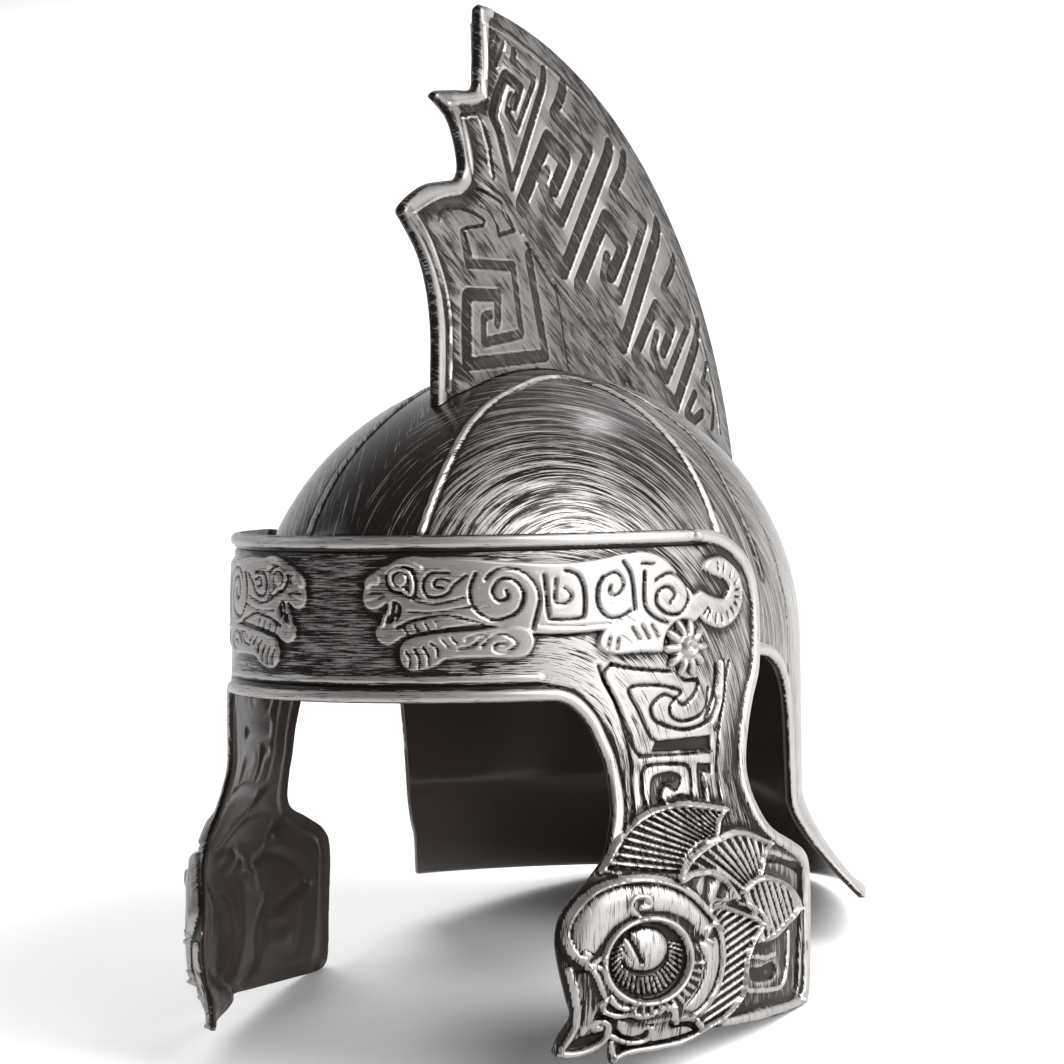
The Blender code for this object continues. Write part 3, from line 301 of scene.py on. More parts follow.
def blurred(grid, cells):
    """A grid averaged over a square of cells, twice, by running sums."""
    for _ in range(2):
        for axis in (0, 1):
            padded = np.concatenate([np.repeat(np.take(grid, [0], axis), cells + 1, axis), grid,
                                     np.repeat(np.take(grid, [-1], axis), cells, axis)], axis)
            total = np.cumsum(padded, axis)
            start = np.arange(grid.shape[axis])
            span = 2 * cells + 1
            grid = (np.take(total, start + span, axis) - np.take(total, start, axis)) / span
    return grid


def swept(grid, way, cells):
    """A grid averaged along one direction: what bristles that move that way ride on."""
    total = np.zeros_like(grid)
    padded = np.pad(grid, cells, mode="edge")
    for step in range(-cells, cells + 1):
        down, right = cells + round(step * way[1]), cells + round(step * way[0])
        total += padded[down:down + grid.shape[0], right:right + grid.shape[1]]
    return total / (2 * cells + 1)


# Shells

Shell = namedtuple("Shell", "outer inner keep brush lift cover lining")
Surface = namedtuple("Surface", "brush lift cover")


def snapped_grid(low, high, step, outline):
    """A grid over a box, its kept cells, and its edge points moved on to the outline."""
    columns = np.arange(low[0], high[0] + step, step)
    rows = np.arange(low[1], high[1] + step, step)
    columns[0] = low[0]
    points = np.stack(np.meshgrid(columns, rows), axis=-1)
    middle = (points[:-1, :-1] + points[1:, 1:]) / 2.0
    keep = inside(middle.reshape(-1, 2), outline).reshape(middle.shape[:2])
    around = np.zeros((4, *points.shape[:2]), bool)
    for index, (down, right) in enumerate(((0, 0), (0, 1), (1, 0), (1, 1))):
        around[index, down:down + keep.shape[0], right:right + keep.shape[1]] = keep
    edge = around.any(axis=0) & ~around.all(axis=0)
    points[edge] = nearest_on_path(points[edge], outline, True)[1]
    return points, keep


def shell_faces(keep, count):
    """The outer sheet, the rim, and an inner sheet with its cells joined two by two away from any end."""
    index = np.arange(count).reshape(keep.shape[0] + 1, keep.shape[1] + 1)
    corners = (index[:-1, :-1], index[:-1, 1:], index[1:, 1:], index[1:, :-1])
    outer = np.stack([corner[keep] for corner in corners], axis=1)
    edges = np.concatenate([outer[:, [0, 1]], outer[:, [1, 2]], outer[:, [2, 3]], outer[:, [3, 0]]])
    code = edges[:, 0].astype(np.int64) * count + edges[:, 1]
    back = edges[:, 1].astype(np.int64) * count + edges[:, 0]
    rim = edges[~np.isin(code, back)]
    sides = np.stack([rim[:, 1], rim[:, 0], rim[:, 0] + count, rim[:, 1] + count], axis=1)
    rows, columns = keep.shape[0] // 2, keep.shape[1] // 2
    block = keep[:2 * rows, :2 * columns].reshape(rows, 2, columns, 2).all(axis=(1, 3))
    ringed = np.pad(block, 1)
    amid = block & ringed[:-2, 1:-1] & ringed[2:, 1:-1] & ringed[1:-1, :-2] & ringed[1:-1, 2:]
    fine = keep.copy()
    fine[:2 * rows, :2 * columns] &= ~np.repeat(np.repeat(block, 2, axis=0), 2, axis=1)
    low, mid, high = slice(0, 2 * rows, 2), slice(1, 2 * rows, 2), slice(2, 2 * rows + 1, 2)
    left, centre, right = slice(0, 2 * columns, 2), slice(1, 2 * columns, 2), slice(2, 2 * columns + 1, 2)
    around = ((low, left), (low, centre), (low, right), (mid, right),
              (high, right), (high, centre), (high, left), (mid, left))
    wide = np.stack([index[place][amid] for place in around[::2]], axis=1)
    edge = np.stack([index[place][block & ~amid] for place in around], axis=1)
    small = np.stack([corner[fine] for corner in corners], axis=1)
    inner = [(part[:, ::-1] + count).tolist() for part in (wide, edge, small)]
    return outer.tolist() + sides.tolist() + inner[0] + inner[1] + inner[2]


def build_shell(name, shell, side, material, body):
    """A closed half shell, mirrored for the wearer's right, with its brush direction as a UV map."""
    shape = shell.outer.shape[:2]
    count = shape[0] * shape[1]
    faces = shell_faces(shell.keep, count)
    vertices = np.concatenate([shell.outer.reshape(-1, 3), shell.inner.reshape(-1, 3)]) * (side, 1.0, 1.0)
    used = np.unique(np.concatenate([np.ravel(face) for face in faces]))
    renumber = np.zeros(2 * count, np.int64)
    renumber[used] = np.arange(len(used))
    renumber = renumber.tolist()
    faces = [[renumber[corner] for corner in face[::side]] for face in faces]
    surface = Surface(
        np.tile(shell.brush.reshape(-1, 2), (2, 1))[used] * (side, 1.0),
        np.concatenate([shell.lift.reshape(-1), np.zeros(count)])[used],
        np.concatenate([shell.cover.reshape(-1), shell.lining.reshape(-1)])[used])
    return finish_piece(name, vertices[used], faces, surface, material, body, 62, halved=True)


def finish_piece(name, points, faces, surface, material, body, sharp_degrees, halved):
    """A leaned mesh with its brush map, lift and cover, closed at seams and poles, riding on a body."""
    mesh = bpy.data.meshes.new(name)
    mesh.from_pydata(stand(points), [], faces)
    layer = mesh.uv_layers.new(name="brush")
    layer.data.foreach_set("uv", surface.brush[loop_vertices(mesh)].astype(np.float32).ravel())
    for word, values in (("lift", surface.lift), ("cover", surface.cover)):
        mesh.attributes.new(word, "FLOAT", "POINT").data.foreach_set("value", values.astype(np.float32))
    edit = bmesh.new()
    edit.from_mesh(mesh)
    bmesh.ops.remove_doubles(edit, verts=edit.verts[:], dist=1e-6)
    if not halved:
        bmesh.ops.recalc_face_normals(edit, faces=edit.faces[:])
    edit.to_mesh(mesh)
    edit.free()
    mesh.shade_smooth()
    mesh.set_sharp_from_angle(angle=radians(sharp_degrees))
    obj = bpy.data.objects.new(name, mesh)
    bpy.context.scene.collection.objects.link(obj)
    mesh.materials.append(material)
    if halved:
        soften_seam(mesh)
    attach(obj, body)
    return obj


def loop_vertices(mesh):
    """The vertex at each corner of each face."""
    loops = np.empty(len(mesh.loops), np.int32)
    mesh.loops.foreach_get("vertex_index", loops)
    return loops


def soften_seam(mesh):
    """The halves meet in the middle plane, so the surface's normal there has no part across it."""
    corner = np.empty(len(mesh.loops) * 3, np.float32)
    mesh.corner_normals.foreach_get("vector", corner)
    corner = corner.reshape(-1, 3)
    places = np.empty(len(mesh.vertices) * 3, np.float32)
    mesh.vertices.foreach_get("co", places)
    middle = (np.abs(places.reshape(-1, 3)[loop_vertices(mesh), 0]) < 1e-5) & (np.abs(corner[:, 0]) < 0.7)
    corner[middle, 0] = 0.0
    corner /= np.linalg.norm(corner, axis=1)[:, None]
    mesh.normals_split_custom_set(corner)


# Face guard

GUARD_TOP_CORNER = curve(
    174.6, -52, 176.3, -41, 176.8, -28, 174.5, -17, 168.5, -9.5, 160, -4, 150, -1, 140, 0)
GUARD_LOWER = curve(
    79, -58.5, 84.5, -60.5, 90, -66, 93.5, -73.5, 96.5, -81, 98, -90, 97.5, -98.5, 95.5, -105.5, 92.5, -113,
    87, -120, 80.5, -127, 76.5, -134, 75.3, -142, 76.5, -152, 78.5, -161, 80, -168, 76.5, -174.5,
    74.3, -179.7)
GUARD_FOOT = curve(
    74.3, -179.7, 76, -181.6, 80, -182.4, 85, -181.5, 89.3, -180, 91.8, -178, 92.5, -177, 93, -178.5,
    93, -182, 94, -185.3, 97, -183.8, 102, -182.7, 110.5, -182.2, 119.5, -181.2, 126, -179, 130, -176.7,
    142, -177, 158, -177, 170, -176.6, 180, -176.1)
GUARD_CORNER = curve(
    180, -176.1, 186, -175.2, 189.5, -172.5, 190.8, -166, 191.3, -155, 192, -142, 192.5, -132, 191.8, -124.5,
    190, -121, 186.8, -118, 178, -113.5, 170, -110, 165.5, -105.5, 162.8, -98, 161.8, -90, 162.8, -80,
    165.7, -70, 169.2, -61.5, 174.6, -52)
GUARD_OUTLINE = np.vstack([
    path(0, -58.5, 20, -58.5, 40, -58.5, 60, -58.5, 72, -58.5), GUARD_LOWER, GUARD_FOOT[1:], GUARD_CORNER[1:],
    GUARD_TOP_CORNER[1:], path(0, 0),
])

BEAST_BODY = curve(
    13, -17.5, 14.5, -14.5, 17.5, -12, 21.5, -10, 25.5, -8, 30.5, -7, 38, -8, 48, -8, 62.5, -9.5, 83, -10.5,
    96.5, -9.5, 106, -8, 116, -7.5, 124.5, -10.5, 131, -17, 137, -24, 139.5, -31, 130, -34.5, 110, -34,
    95.5, -34.5, 82, -35, 70, -34.5, 54.5, -31.5, 38, -33, 28, -35, 24.5, -37, 21, -38, 17.7, -36,
    17.3, -32.3, 20, -31, 24.5, -29.8, 26.3, -26, 25, -23.3, 21.5, -23.3, 17.5, -25.6, 14, -25.2,
    12.2, -22, closed=True)
FORELEG = curve(
    26, -42.5, 26, -39, 28, -36.3, 33, -35, 40.5, -34, 50, -33.5, 57.5, -32.6, 68.5, -33, 72, -36.5,
    70.5, -41, 67, -43, 55, -42.7, 42.5, -43, 38, -45.5, 31, -47.2, 27.3, -45.5, closed=True)
HIND_LEG = curve(
    95.3, -40, 96.5, -35.5, 101, -33.5, 109.5, -32, 122, -32, 130, -35.5, 131, -40, 125, -42.8, 112, -42.6,
    101, -42.8, closed=True)
TAIL_OUTSIDE = curve(
    134, -24.5, 138, -28.5, 141.5, -33, 150, -35.8, 158.5, -33.4, 164, -27, 163.5, -17.5, 154.5, -11,
    146, -11, 142.6, -14.2)
BEAST_TAIL = np.vstack([TAIL_OUTSIDE, curve(
    147.5, -16.6, 154, -18.5, 156.6, -21.7, 153, -25.3, 147, -24.6, 140.5, -22)])


def beast_strokes():
    """The prowling beast: body, legs and striped tail raised, the rest engraved on them."""
    line = 1.8
    fine = 1.5
    strokes = [
        Plate(BEAST_BODY, 1.3, 1.4), Plate(FORELEG, 1.5, 1.2), Plate(HIND_LEG, 1.5, 1.2),
        Plate(BEAST_TAIL, 1.5, 1.3),
        Ridge(curve(14, -16.5, 15.5, -15, 17, -15.5), 4.0, 0.9),
        Ridge(curve(21.5, -12.5, 25, -10.2, 29.5, -10, 33, -11.5), 2.4, 0.8),
        Ridge(curve(26, -11.7, 22.8, -13, 22.2, -15.7, 24, -18.2, 26.5, -18.8, 29.5, -20.5, 30.3, -16.5,
                    29, -13, closed=True), 1.6, 0.9, True),
        Groove(curve(26, -10.7, 21.9, -12.4, 21.2, -16, 23.5, -19.3, 26.5, -19.9, 30.6, -21.7, 31.4, -16.5,
                     29.8, -12, closed=True), fine, 0.8, True),
        Swell(ring((26.2, -15.3), 2.4), 1.2, 2.0),
        Groove(spiral((26.2, -15.3), 1.6, 1.0, 0.2), 1.2, 0.6),
        Groove(curve(49, -14, 44.5, -17.5, 42.5, -20.3, 39, -21.5, 35.5, -21, 34, -18, 35, -14.5, 38, -13,
                     43, -13.2), line, 1.0),
        Groove(curve(43, -15.8, 39, -15.2, 37.8, -17.5, 40.8, -18.3), line, 0.9),
        Groove(curve(14, -20.5, 17, -20, 20, -20.5), fine, 0.5),
        Groove(curve(13.5, -23, 17, -22.4, 20.5, -21), fine, 0.5),
        Groove(curve(30.5, -22.5, 38, -24, 48, -21.8), line, 0.7),
        Groove(curve(29, -26.5, 38, -27, 50, -25), line, 0.6),
        Groove(curve(28, -18.5, 30.5, -20.5, 33, -22), fine, 0.6),
        Groove(curve(25, -32, 30.5, -29.6, 36.5, -28.5, 43, -28, 54.5, -31), line, 1.1),
        Ridge(path(22.3, -23.2, 21.6, -27), 1.8, 1.2), Ridge(path(19.4, -31.4, 20.4, -28), 1.8, 1.2),
        Ridge(path(24.6, -24, 24.2, -26.4), 1.3, 0.9), Ridge(path(23.6, -30.6, 24, -28.6), 1.3, 0.9),
        Groove(path(27.3, -32, 28.6, -34.3), line, 0.7), Groove(path(31, -31.2, 32.3, -33.4), line, 0.7),
        Groove(path(34.6, -30.4, 35.9, -32.6), line, 0.7), Groove(path(38.2, -29.9, 39.3, -31.8), fine, 0.6),
        Groove(curve(28, -40.5, 29.4, -43, 29, -46), line, 0.9),
        Groove(curve(31, -39.6, 32.6, -42.8, 32.4, -46), line, 0.9),
        Groove(curve(34, -39, 35.7, -42, 35.8, -45), line, 0.9),
        Groove(curve(36.5, -37.6, 38.6, -39, 39, -42), line, 0.8),
        Groove(path(40.2, -36, 42.4, -38.6), line, 0.8), Groove(path(43.6, -35.4, 45.4, -37.6), line, 0.7),
        Groove(curve(46, -39.5, 50.5, -38.8, 53, -36.6, 55.5, -35, 51.5, -35, 48.5, -36.4), line, 0.8),
        Groove(curve(54, -38.8, 57.5, -35.6, 62, -34.8, 65.8, -38, 62, -41, 58.3, -40.2, 58.8, -38.2,
                     62, -38), line, 0.8),
        Groove(curve(52, -13.5, 50, -19.5, 52, -26, 58.5, -29.7, 66, -27.2, 68.6, -21, 65.5, -16, 60.5, -15.6,
                     57.8, -19.5, 59.8, -23, 63, -22, 62.6, -19.5), 2.1, 1.15),
        Groove(curve(55.5, -15.5, 59.5, -12.2, 66.5, -12.2, 72, -16.3, 74.2, -22, 73, -27.5, 71.5, -33),
               2.1, 1.15),
        Groove(curve(75.8, -14.5, 76.6, -22.5, 77.2, -28.8, 79, -30, 87.5, -30, 90, -28.3, 90.2, -20,
                     88, -14.8, 83.5, -13), 2.1, 1.15),
        Groove(curve(80, -15.8, 79.6, -23.8, 83.5, -24.4, 85.5, -21.7, 83, -19.3), line, 0.9),
        Groove(curve(106, -10.5, 109, -16, 110, -27.5), 2.1, 1.15),
        Groove(curve(97.5, -16, 95.5, -19.5, 95.5, -25.5, 99, -29.8, 104, -30, 108, -28), 2.1, 1.15),
        Groove(curve(97.5, -16, 103, -14.3, 105.7, -18.5, 103, -22.2, 100, -21.3, 100.6, -18.8), line, 0.9),
        Groove(curve(113.5, -11.5, 119, -11.8), line, 0.9),
        Groove(curve(114.6, -14.5, 114.2, -26, 119, -31, 125, -33), 2.1, 1.15),
        Groove(curve(119.5, -17.5, 126, -15.2, 132.5, -18.5, 134, -24.5, 130, -29.6, 123.5, -29.3, 119.4, -26,
                     120, -21.8, 124.6, -20, 127.8, -22.8, 125.5, -25.6), 2.1, 1.15),
        Groove(path(108.6, -33.8, 111.4, -38.2), line, 0.9), Groove(path(112.6, -33, 115.4, -38), line, 0.9),
        Groove(path(116.8, -33.2, 119.6, -37.8), line, 0.9),
        Groove(curve(99.5, -37, 98.5, -41), line, 0.8), Groove(curve(102.8, -37.6, 102, -41.6), line, 0.8),
        Groove(curve(72, -35.2, 82, -35.8, 95.5, -35.5), 1.3, 0.7),
        Groove(curve(74, -31.8, 87.5, -32.6, 100, -32, 107, -30.5), fine, 0.5),
    ]
    for share in np.linspace(0.2, 0.86, 13):
        index = int(share * (len(TAIL_OUTSIDE) - 2))
        at = TAIL_OUTSIDE[index] / MM
        ahead = TAIL_OUTSIDE[index + 1] / MM - at
        inward = np.array([-ahead[1], ahead[0]]) / hypot(*ahead)
        strokes.append(Groove(path(*(at + 1.6 * inward), *(at + 5.0 * inward)), 1.5, 0.9))
    return strokes


def meander_strokes():
    """The meander panel on the neck of the cheek guard: engraved outlines, sunk slots and curls."""
    return [
        Groove(curve(100.5, -46.5, 97, -50, 99.5, -56, 102, -60.5, 105.5, -69, 108, -76, 110.5, -79.2),
               1.9, 1.1),
        Groove(curve(100.5, -46.5, 108, -48.2, 118, -49.4, 129, -50.4, 134.5, -51.2), 1.9, 1.1),
        Groove(curve(110.5, -79.4, 119, -79.4, 143, -79.8), 1.9, 1.1),
        Groove(curve(126, -56, 117.5, -54.6, 107.2, -55.4, 110.5, -63, 115, -72.4, 117.5, -74), 1.9, 1.1),
        Sink(path(115.6, -77.9, 117.4, -74.4, 143.2, -73.9, 142.6, -79.3), 1.5),
        Groove(curve(126, -56, 129.6, -57.4, 127.2, -59.7, 122.5, -58.1, 118, -60, 115.8, -63, 117.5, -67,
                     124, -69.7, 131, -71, 139.5, -69.6, 145, -66.4, 148, -61), 2.1, 1.2),
        Groove(curve(127.2, -59.7, 124.3, -62.5, 124.9, -66, 130, -68, 138, -66.5, 141.7, -63, 143, -57),
               2.0, 1.1),
        Groove(curve(129, -50.6, 131.5, -53.5, 137.7, -54, 136, -58.4, 131, -62, 128.5, -61), 2.1, 1.2),
        Groove(curve(147.6, -49, 146.6, -56, 144, -62.5, 141, -67.5), 2.4, 1.3),
        Ridge(curve(150.4, -48.6, 149.6, -57, 147.2, -64.5, 143.4, -69.6), 2.6, 1.1),
        Groove(curve(152.6, -47.4, 152.4, -57, 149.8, -66, 146, -72), 1.8, 0.8),
        Groove(curve(110.8, -97, 110.3, -92, 111.2, -85, 115, -82.7, 127, -83, 131.5, -84.6, 132, -90,
                     130.6, -95.4), 1.9, 1.1),
        Sink(curve(113.5, -97, 114.3, -89, 117, -86.2, 124, -85.6, 127.8, -88, 124.7, -92.3, 120.5, -90.6,
                   118, -94, 118.4, -97, closed=True), 1.1),
        Groove(curve(130.8, -95.2, 125.5, -94.2, 121.5, -96.3, 118.6, -96.7, 117.4, -93.5, 119.5, -90.2,
                     124, -89.6), 1.9, 1.1),
        Sink(path(135.8, -83.4, 142.4, -84, 142, -87.2, 138.2, -86.6, 137.2, -96, 134.8, -95.4), 1.3),
        Ridge(path(138.6, -88.5, 138, -96.5), 1.6, 0.8),
        Groove(curve(95.5, -47, 97.5, -52.5, 101.3, -59.5, 105, -71, 106.7, -83.5, 105.7, -98, 102.5, -104),
               1.9, 1.1),
        Groove(curve(155.5, -48, 151.7, -58, 147.6, -73, 145.2, -86.5, 144.6, -98), 1.9, 1.0),
    ]


UPPER_RIM = curve(90.8, -117.5, 96, -109.7, 105, -102, 115, -98, 126.5, -97, 145, -100.3)
UPPER_FAN = np.vstack([UPPER_RIM, curve(140.5, -104, 137, -109.6, 129, -111.6, 122.5, -116, 117.5, -122,
                                        107, -121, 97, -120.5)])
REAR_RIM = curve(117.5, -121.8, 125.5, -115, 137, -110.2, 149.5, -108.8, 164, -113.8)
REAR_FAN = np.vstack([REAR_RIM, curve(158.8, -119, 155.5, -126, 147, -128.8, 143, -126.5, 136, -121.8,
                                      127, -120.5)])
INNER_LEAF = curve(
    117.5, -122.8, 124.5, -121, 132.5, -121.4, 139.5, -125.2, 144, -131, 140, -132.4, 133, -131.6,
    127.5, -133.5, 122, -128, closed=True)
REAR_LEAF = curve(146.8, -129.4, 154.5, -125.8, 165.5, -126.8, 175.5, -132, 180.3, -139.5, 170.5, -144.8,
                  162, -148.6, 156, -148.6)
FEATHER_STRIP = curve(
    129.5, -134.4, 135.5, -133.4, 145.5, -136.6, 156.5, -141.8, 151.5, -149.5, 148.5, -156, 147, -166,
    139.5, -172.5, 128, -176.6, 124.5, -172, 129.2, -167, 133.7, -161, 135.7, -151.5, 133.2, -141.5)
SWIRL = curve(
    84.5, -150, 79.8, -145, 77.8, -138, 80.6, -130.6, 87.5, -123.7, 97, -120.7, 107.5, -121.2, 117.5, -125.2,
    126, -132.6, 133, -141.6, 135.3, -151.5, 133.3, -161, 129, -167, 123, -171)
RING_CENTRE = (104.5, -149.5)


def feather_strokes():
    """Ribbed fans and leaves with raised rims, the eye boss, the fish tail below and the plate behind."""
    rim = 2.5
    strokes = [
        Sink(curve(163.6, -118, 176, -121.5, 187, -125.5, 185.5, -141, 183.5, -160, 179.5, -172, 160, -172.5,
                   140, -173.5, 147, -166, 150, -156, 158, -148, 170, -146, 182, -140, 176, -131, 163, -126,
                   159, -121, closed=True), 1.0, 1.2),
        Ridge(curve(176.3, -147.5, 175.8, -156, 173.8, -163.8, 170.5, -166.8, 166, -167.2, 152, -165.8,
                    149.3, -163, 149.8, -156, 153.3, -153.8, 161, -155, 166.8, -154.5), 1.9, 1.0),
        Sink(curve(153.4, -158, 158, -158.4, 166, -157.4, 168.5, -161, 164, -163.6, 154, -162.4,
                   closed=True), 1.1),
        Plate(UPPER_FAN, 1.0, 1.0), Fan(UPPER_FAN, UPPER_RIM, (160, -126), 3.5, 1.6),
        Plate(REAR_FAN, 1.5, 1.0), Fan(REAR_FAN, REAR_RIM, (159, -136), 4.2, 1.6),
        Plate(INNER_LEAF, 1.4, 1.0), Bars(INNER_LEAF, (0.5, 0.85), 7.5, 1.3),
        Plate(REAR_LEAF, 1.9, 1.0), Bars(REAR_LEAF, (0.42, -0.9), 3.1, 1.6),
        Plate(FEATHER_STRIP, 1.5, 1.0), Bars(FEATHER_STRIP, (1.0, 0.4), 2.75, 1.6),
        Ridge(UPPER_RIM, rim, 1.3),
        Ridge(curve(145, -100.3, 140.5, -104, 137.3, -109.3), rim - 0.5, 1.1),
        Ridge(REAR_RIM, rim, 1.4),
        Ridge(curve(164, -113.8, 158.8, -119, 155.5, -126), rim - 0.5, 1.2),
        Ridge(curve(117.5, -122.8, 124.5, -121, 132.5, -121.4, 139.5, -125.2, 144.3, -131.5), rim, 1.5),
        Ridge(curve(140.5, -132.9, 133, -131.8, 128.7, -133.8), rim - 0.7, 1.0),
        Ridge(curve(146.8, -129.4, 154.5, -125.8, 165.5, -126.8, 175.5, -132, 180.3, -139.5), rim, 1.5),
        Ridge(curve(180.3, -139.5, 170.5, -144.8, 162, -148.6, 156.5, -148.6), rim - 0.3, 1.3),
        Ridge(curve(146.8, -129.4, 144.8, -133, 152.5, -136, 158.2, -140.5, 161.3, -144.5), rim - 0.3, 1.2),
        Ridge(curve(128.7, -134.4, 135.5, -133.2, 145.5, -136.6, 156.5, -141.8), rim - 0.4, 1.3),
        Ridge(curve(156.5, -142.3, 151.5, -149.5, 148.5, -156, 147, -166.3, 139.5, -172.5, 127.5, -176.6),
              rim, 1.4),
    ]
    strokes += boss_strokes(rim)
    strokes += fish_strokes()
    return strokes


def boss_strokes(rim):
    """The eye: a swirling rim round two smooth crescents, a ring, a ball with a slit, and rows of lashes."""
    left, low = RING_CENTRE
    upper_crescent = curve(84, -148.5, 80.8, -144, 79.3, -138, 82, -131.5, 88.3, -125.4, 97, -122.5,
                           107, -123, 116.5, -126.8, 124.5, -133.8, 129.5, -141, 124, -143, 118, -136.5,
                           110, -133, 101, -133, 93, -137, 88.5, -143, closed=True)
    side_crescent = curve(130.8, -143.5, 133, -151.5, 131, -160.3, 126.5, -166.5, 121.5, -169, 117, -166.5,
                          121.5, -160, 123.4, -151.5, 121.5, -145, closed=True)
    strokes = [
        Plate(np.vstack([SWIRL, path(104, -172, 90, -163)]), 1.6, 1.2),
        Swell(upper_crescent, 1.4, 5.0), Swell(side_crescent, 1.3, 4.0),
        Ridge(SWIRL, 3.1, 1.9), Groove(curve(84.5, -150, 82, -147.5, 83, -144, 86.5, -146), 1.0, 0.9),
        Sink(ring((left, low), 14.0), 1.7, 1.4),
        Ridge(ring((left, low), 14.6), 2.9, 1.9, True),
        Swell(ring((left - 1.5, low + 4.2), 8.0, stretch=1.1), 2.6, 6.5),
        Groove(curve(97.4, -139.8, 99.8, -145, 101.8, -149.6), 2.2, 1.7),
        Groove(curve(95.2, -142, 96.4, -145.5, 98.4, -148.8), 1.4, 0.7),
        Ridge(curve(88.8, -147, 86.3, -149.3, 89.2, -151.2), 2.2, 1.0),
        Ridge(curve(84.2, -150.4, 86.6, -152.4, 88.4, -157.5, 89.8, -163.4), 2.0, 1.1),
        Ridge(curve(103, -134.6, 99.5, -132.6, 97.7, -129.4, 99.7, -126.6, 103.7, -127, 104.3, -130.2,
                    101.5, -130.6), 1.9, 1.3),
        Ridge(curve(133.2, -140.8, 129.2, -139.2, 125.7, -140.2, 125.2, -143.4, 127.9, -145.2), 1.9, 1.3),
        Groove(curve(119.8, -141.5, 124.5, -150.8, 123.2, -159.5, 118, -166.6), 1.2, 1.0),
    ]
    for turn in np.linspace(-0.05, 0.56, 24):
        angle = -tau * turn
        inner = np.array([left - 1.0 + 8.9 * cos(angle), low + 3.0 + 8.9 * sin(angle)])
        outer = np.array([left - 0.3 + 12.4 * cos(angle), low + 0.9 + 12.2 * sin(angle)])
        strokes.append(Ridge(path(*inner, *outer), 1.25, 1.5))
    for turn in np.linspace(0.02, 0.3, 12):
        angle = -tau * turn
        inner = np.array([left + 16.4 * cos(angle), low + 16.4 * sin(angle)])
        outer = np.array([left + 19.2 * cos(angle), low + 19.0 * sin(angle)])
        strokes.append(Ridge(path(*inner, *outer), 1.5, 1.3))
    return strokes


def fish_strokes():
    """The tail under the boss: a long leaf with a curled rim, a wavy rim over a scroll, and a low fin."""
    return [
        Plate(curve(81.3, -152.5, 86, -152, 88, -157, 89, -162.5, 87.5, -166.5, 86.5, -171, 84, -175,
                    83, -171.5, 83.5, -167, 82.5, -162, 81, -156.5, closed=True), 0.9, 1.2),
        Sink(curve(80, -178.3, 83, -175.5, 86.5, -174.5, 90.5, -174.3, 89, -176.7, 85, -178.6, 81, -179.6,
                   closed=True), 0.9),
        Plate(curve(94, -169.5, 99, -170.5, 105, -170, 104.5, -173, 103.5, -175.3, 99.5, -175.8, 95.5, -174.3,
                    closed=True), 1.0, 1.2),
        Plate(curve(106, -170, 110.5, -168, 112.5, -170, 113.5, -173.5, 118, -174, 122, -175, 124, -176.5,
                    115, -178, 107.5, -178.5, 107, -175.5, closed=True), 1.1, 1.0),
        Groove(curve(88, -167.8, 91, -168.3, 93.6, -170.4, 93.7, -173.2), 2.0, 1.2),
        Groove(curve(94.4, -173.6, 96.5, -175.6, 99.5, -176.7, 103.3, -176, 104.8, -174.2), 1.8, 1.2),
        Groove(curve(97.5, -180.2, 101.5, -179.7, 106, -179.3, 115, -178.7, 125, -177.1), 1.9, 1.3),
        Sink(path(96, -178.7, 99, -179.8, 95.6, -182.2), 0.9, 0.7),
        Ridge(curve(79, -151, 80, -156, 81.2, -162, 82, -167, 81.6, -171.5, 79.8, -175.5, 77.3, -179),
              2.6, 1.6),
        Ridge(curve(89.4, -172.2, 87.6, -172.6, 87.3, -170.4, 89.5, -169.8, 91.6, -171.2, 92, -174,
                    91, -176.8, 88.6, -178.8, 85, -180.3, 81, -181, 77, -180.7), 2.3, 1.5),
        Swell(ring((88.9, -171.8), 1.5), 0.9, 1.4), Groove(path(89.8, -171.9, 90.1, -172.1), 1.2, 0.9),
        Ridge(curve(91.5, -161, 93.5, -164.5, 96, -165.5, 98.5, -165, 101.5, -162), 1.8, 1.1),
        Ridge(curve(89, -163, 89.5, -165.5, 91, -167, 94, -168, 98.5, -168, 102.5, -168.5, 107, -167,
                    110.5, -166, 113, -167.5, 114, -170.5, 115, -172.5), 2.5, 1.7),
        Ridge(curve(93.6, -175.6, 96.5, -177.2, 100.5, -178.5, 104, -178.5, 106.5, -176.5, 106, -174,
                    104.5, -173), 2.2, 1.5),
        Ridge(curve(93.3, -177.8, 94.2, -181, 94.6, -183.6), 2.0, 1.2),
        Ridge(curve(94.8, -184, 97, -182.4, 101.5, -181.4, 110.5, -180.9, 119.5, -180, 126, -177.9,
                    127.6, -176.3, 125.8, -173.8, 122.5, -172.2, 117.5, -171.8, 115.5, -172.3), 2.3, 1.5),
        Groove(curve(114.5, -173.8, 118, -173.7, 122, -174.2, 124, -175.5, 125.6, -177), 1.4, 1.0),
    ]


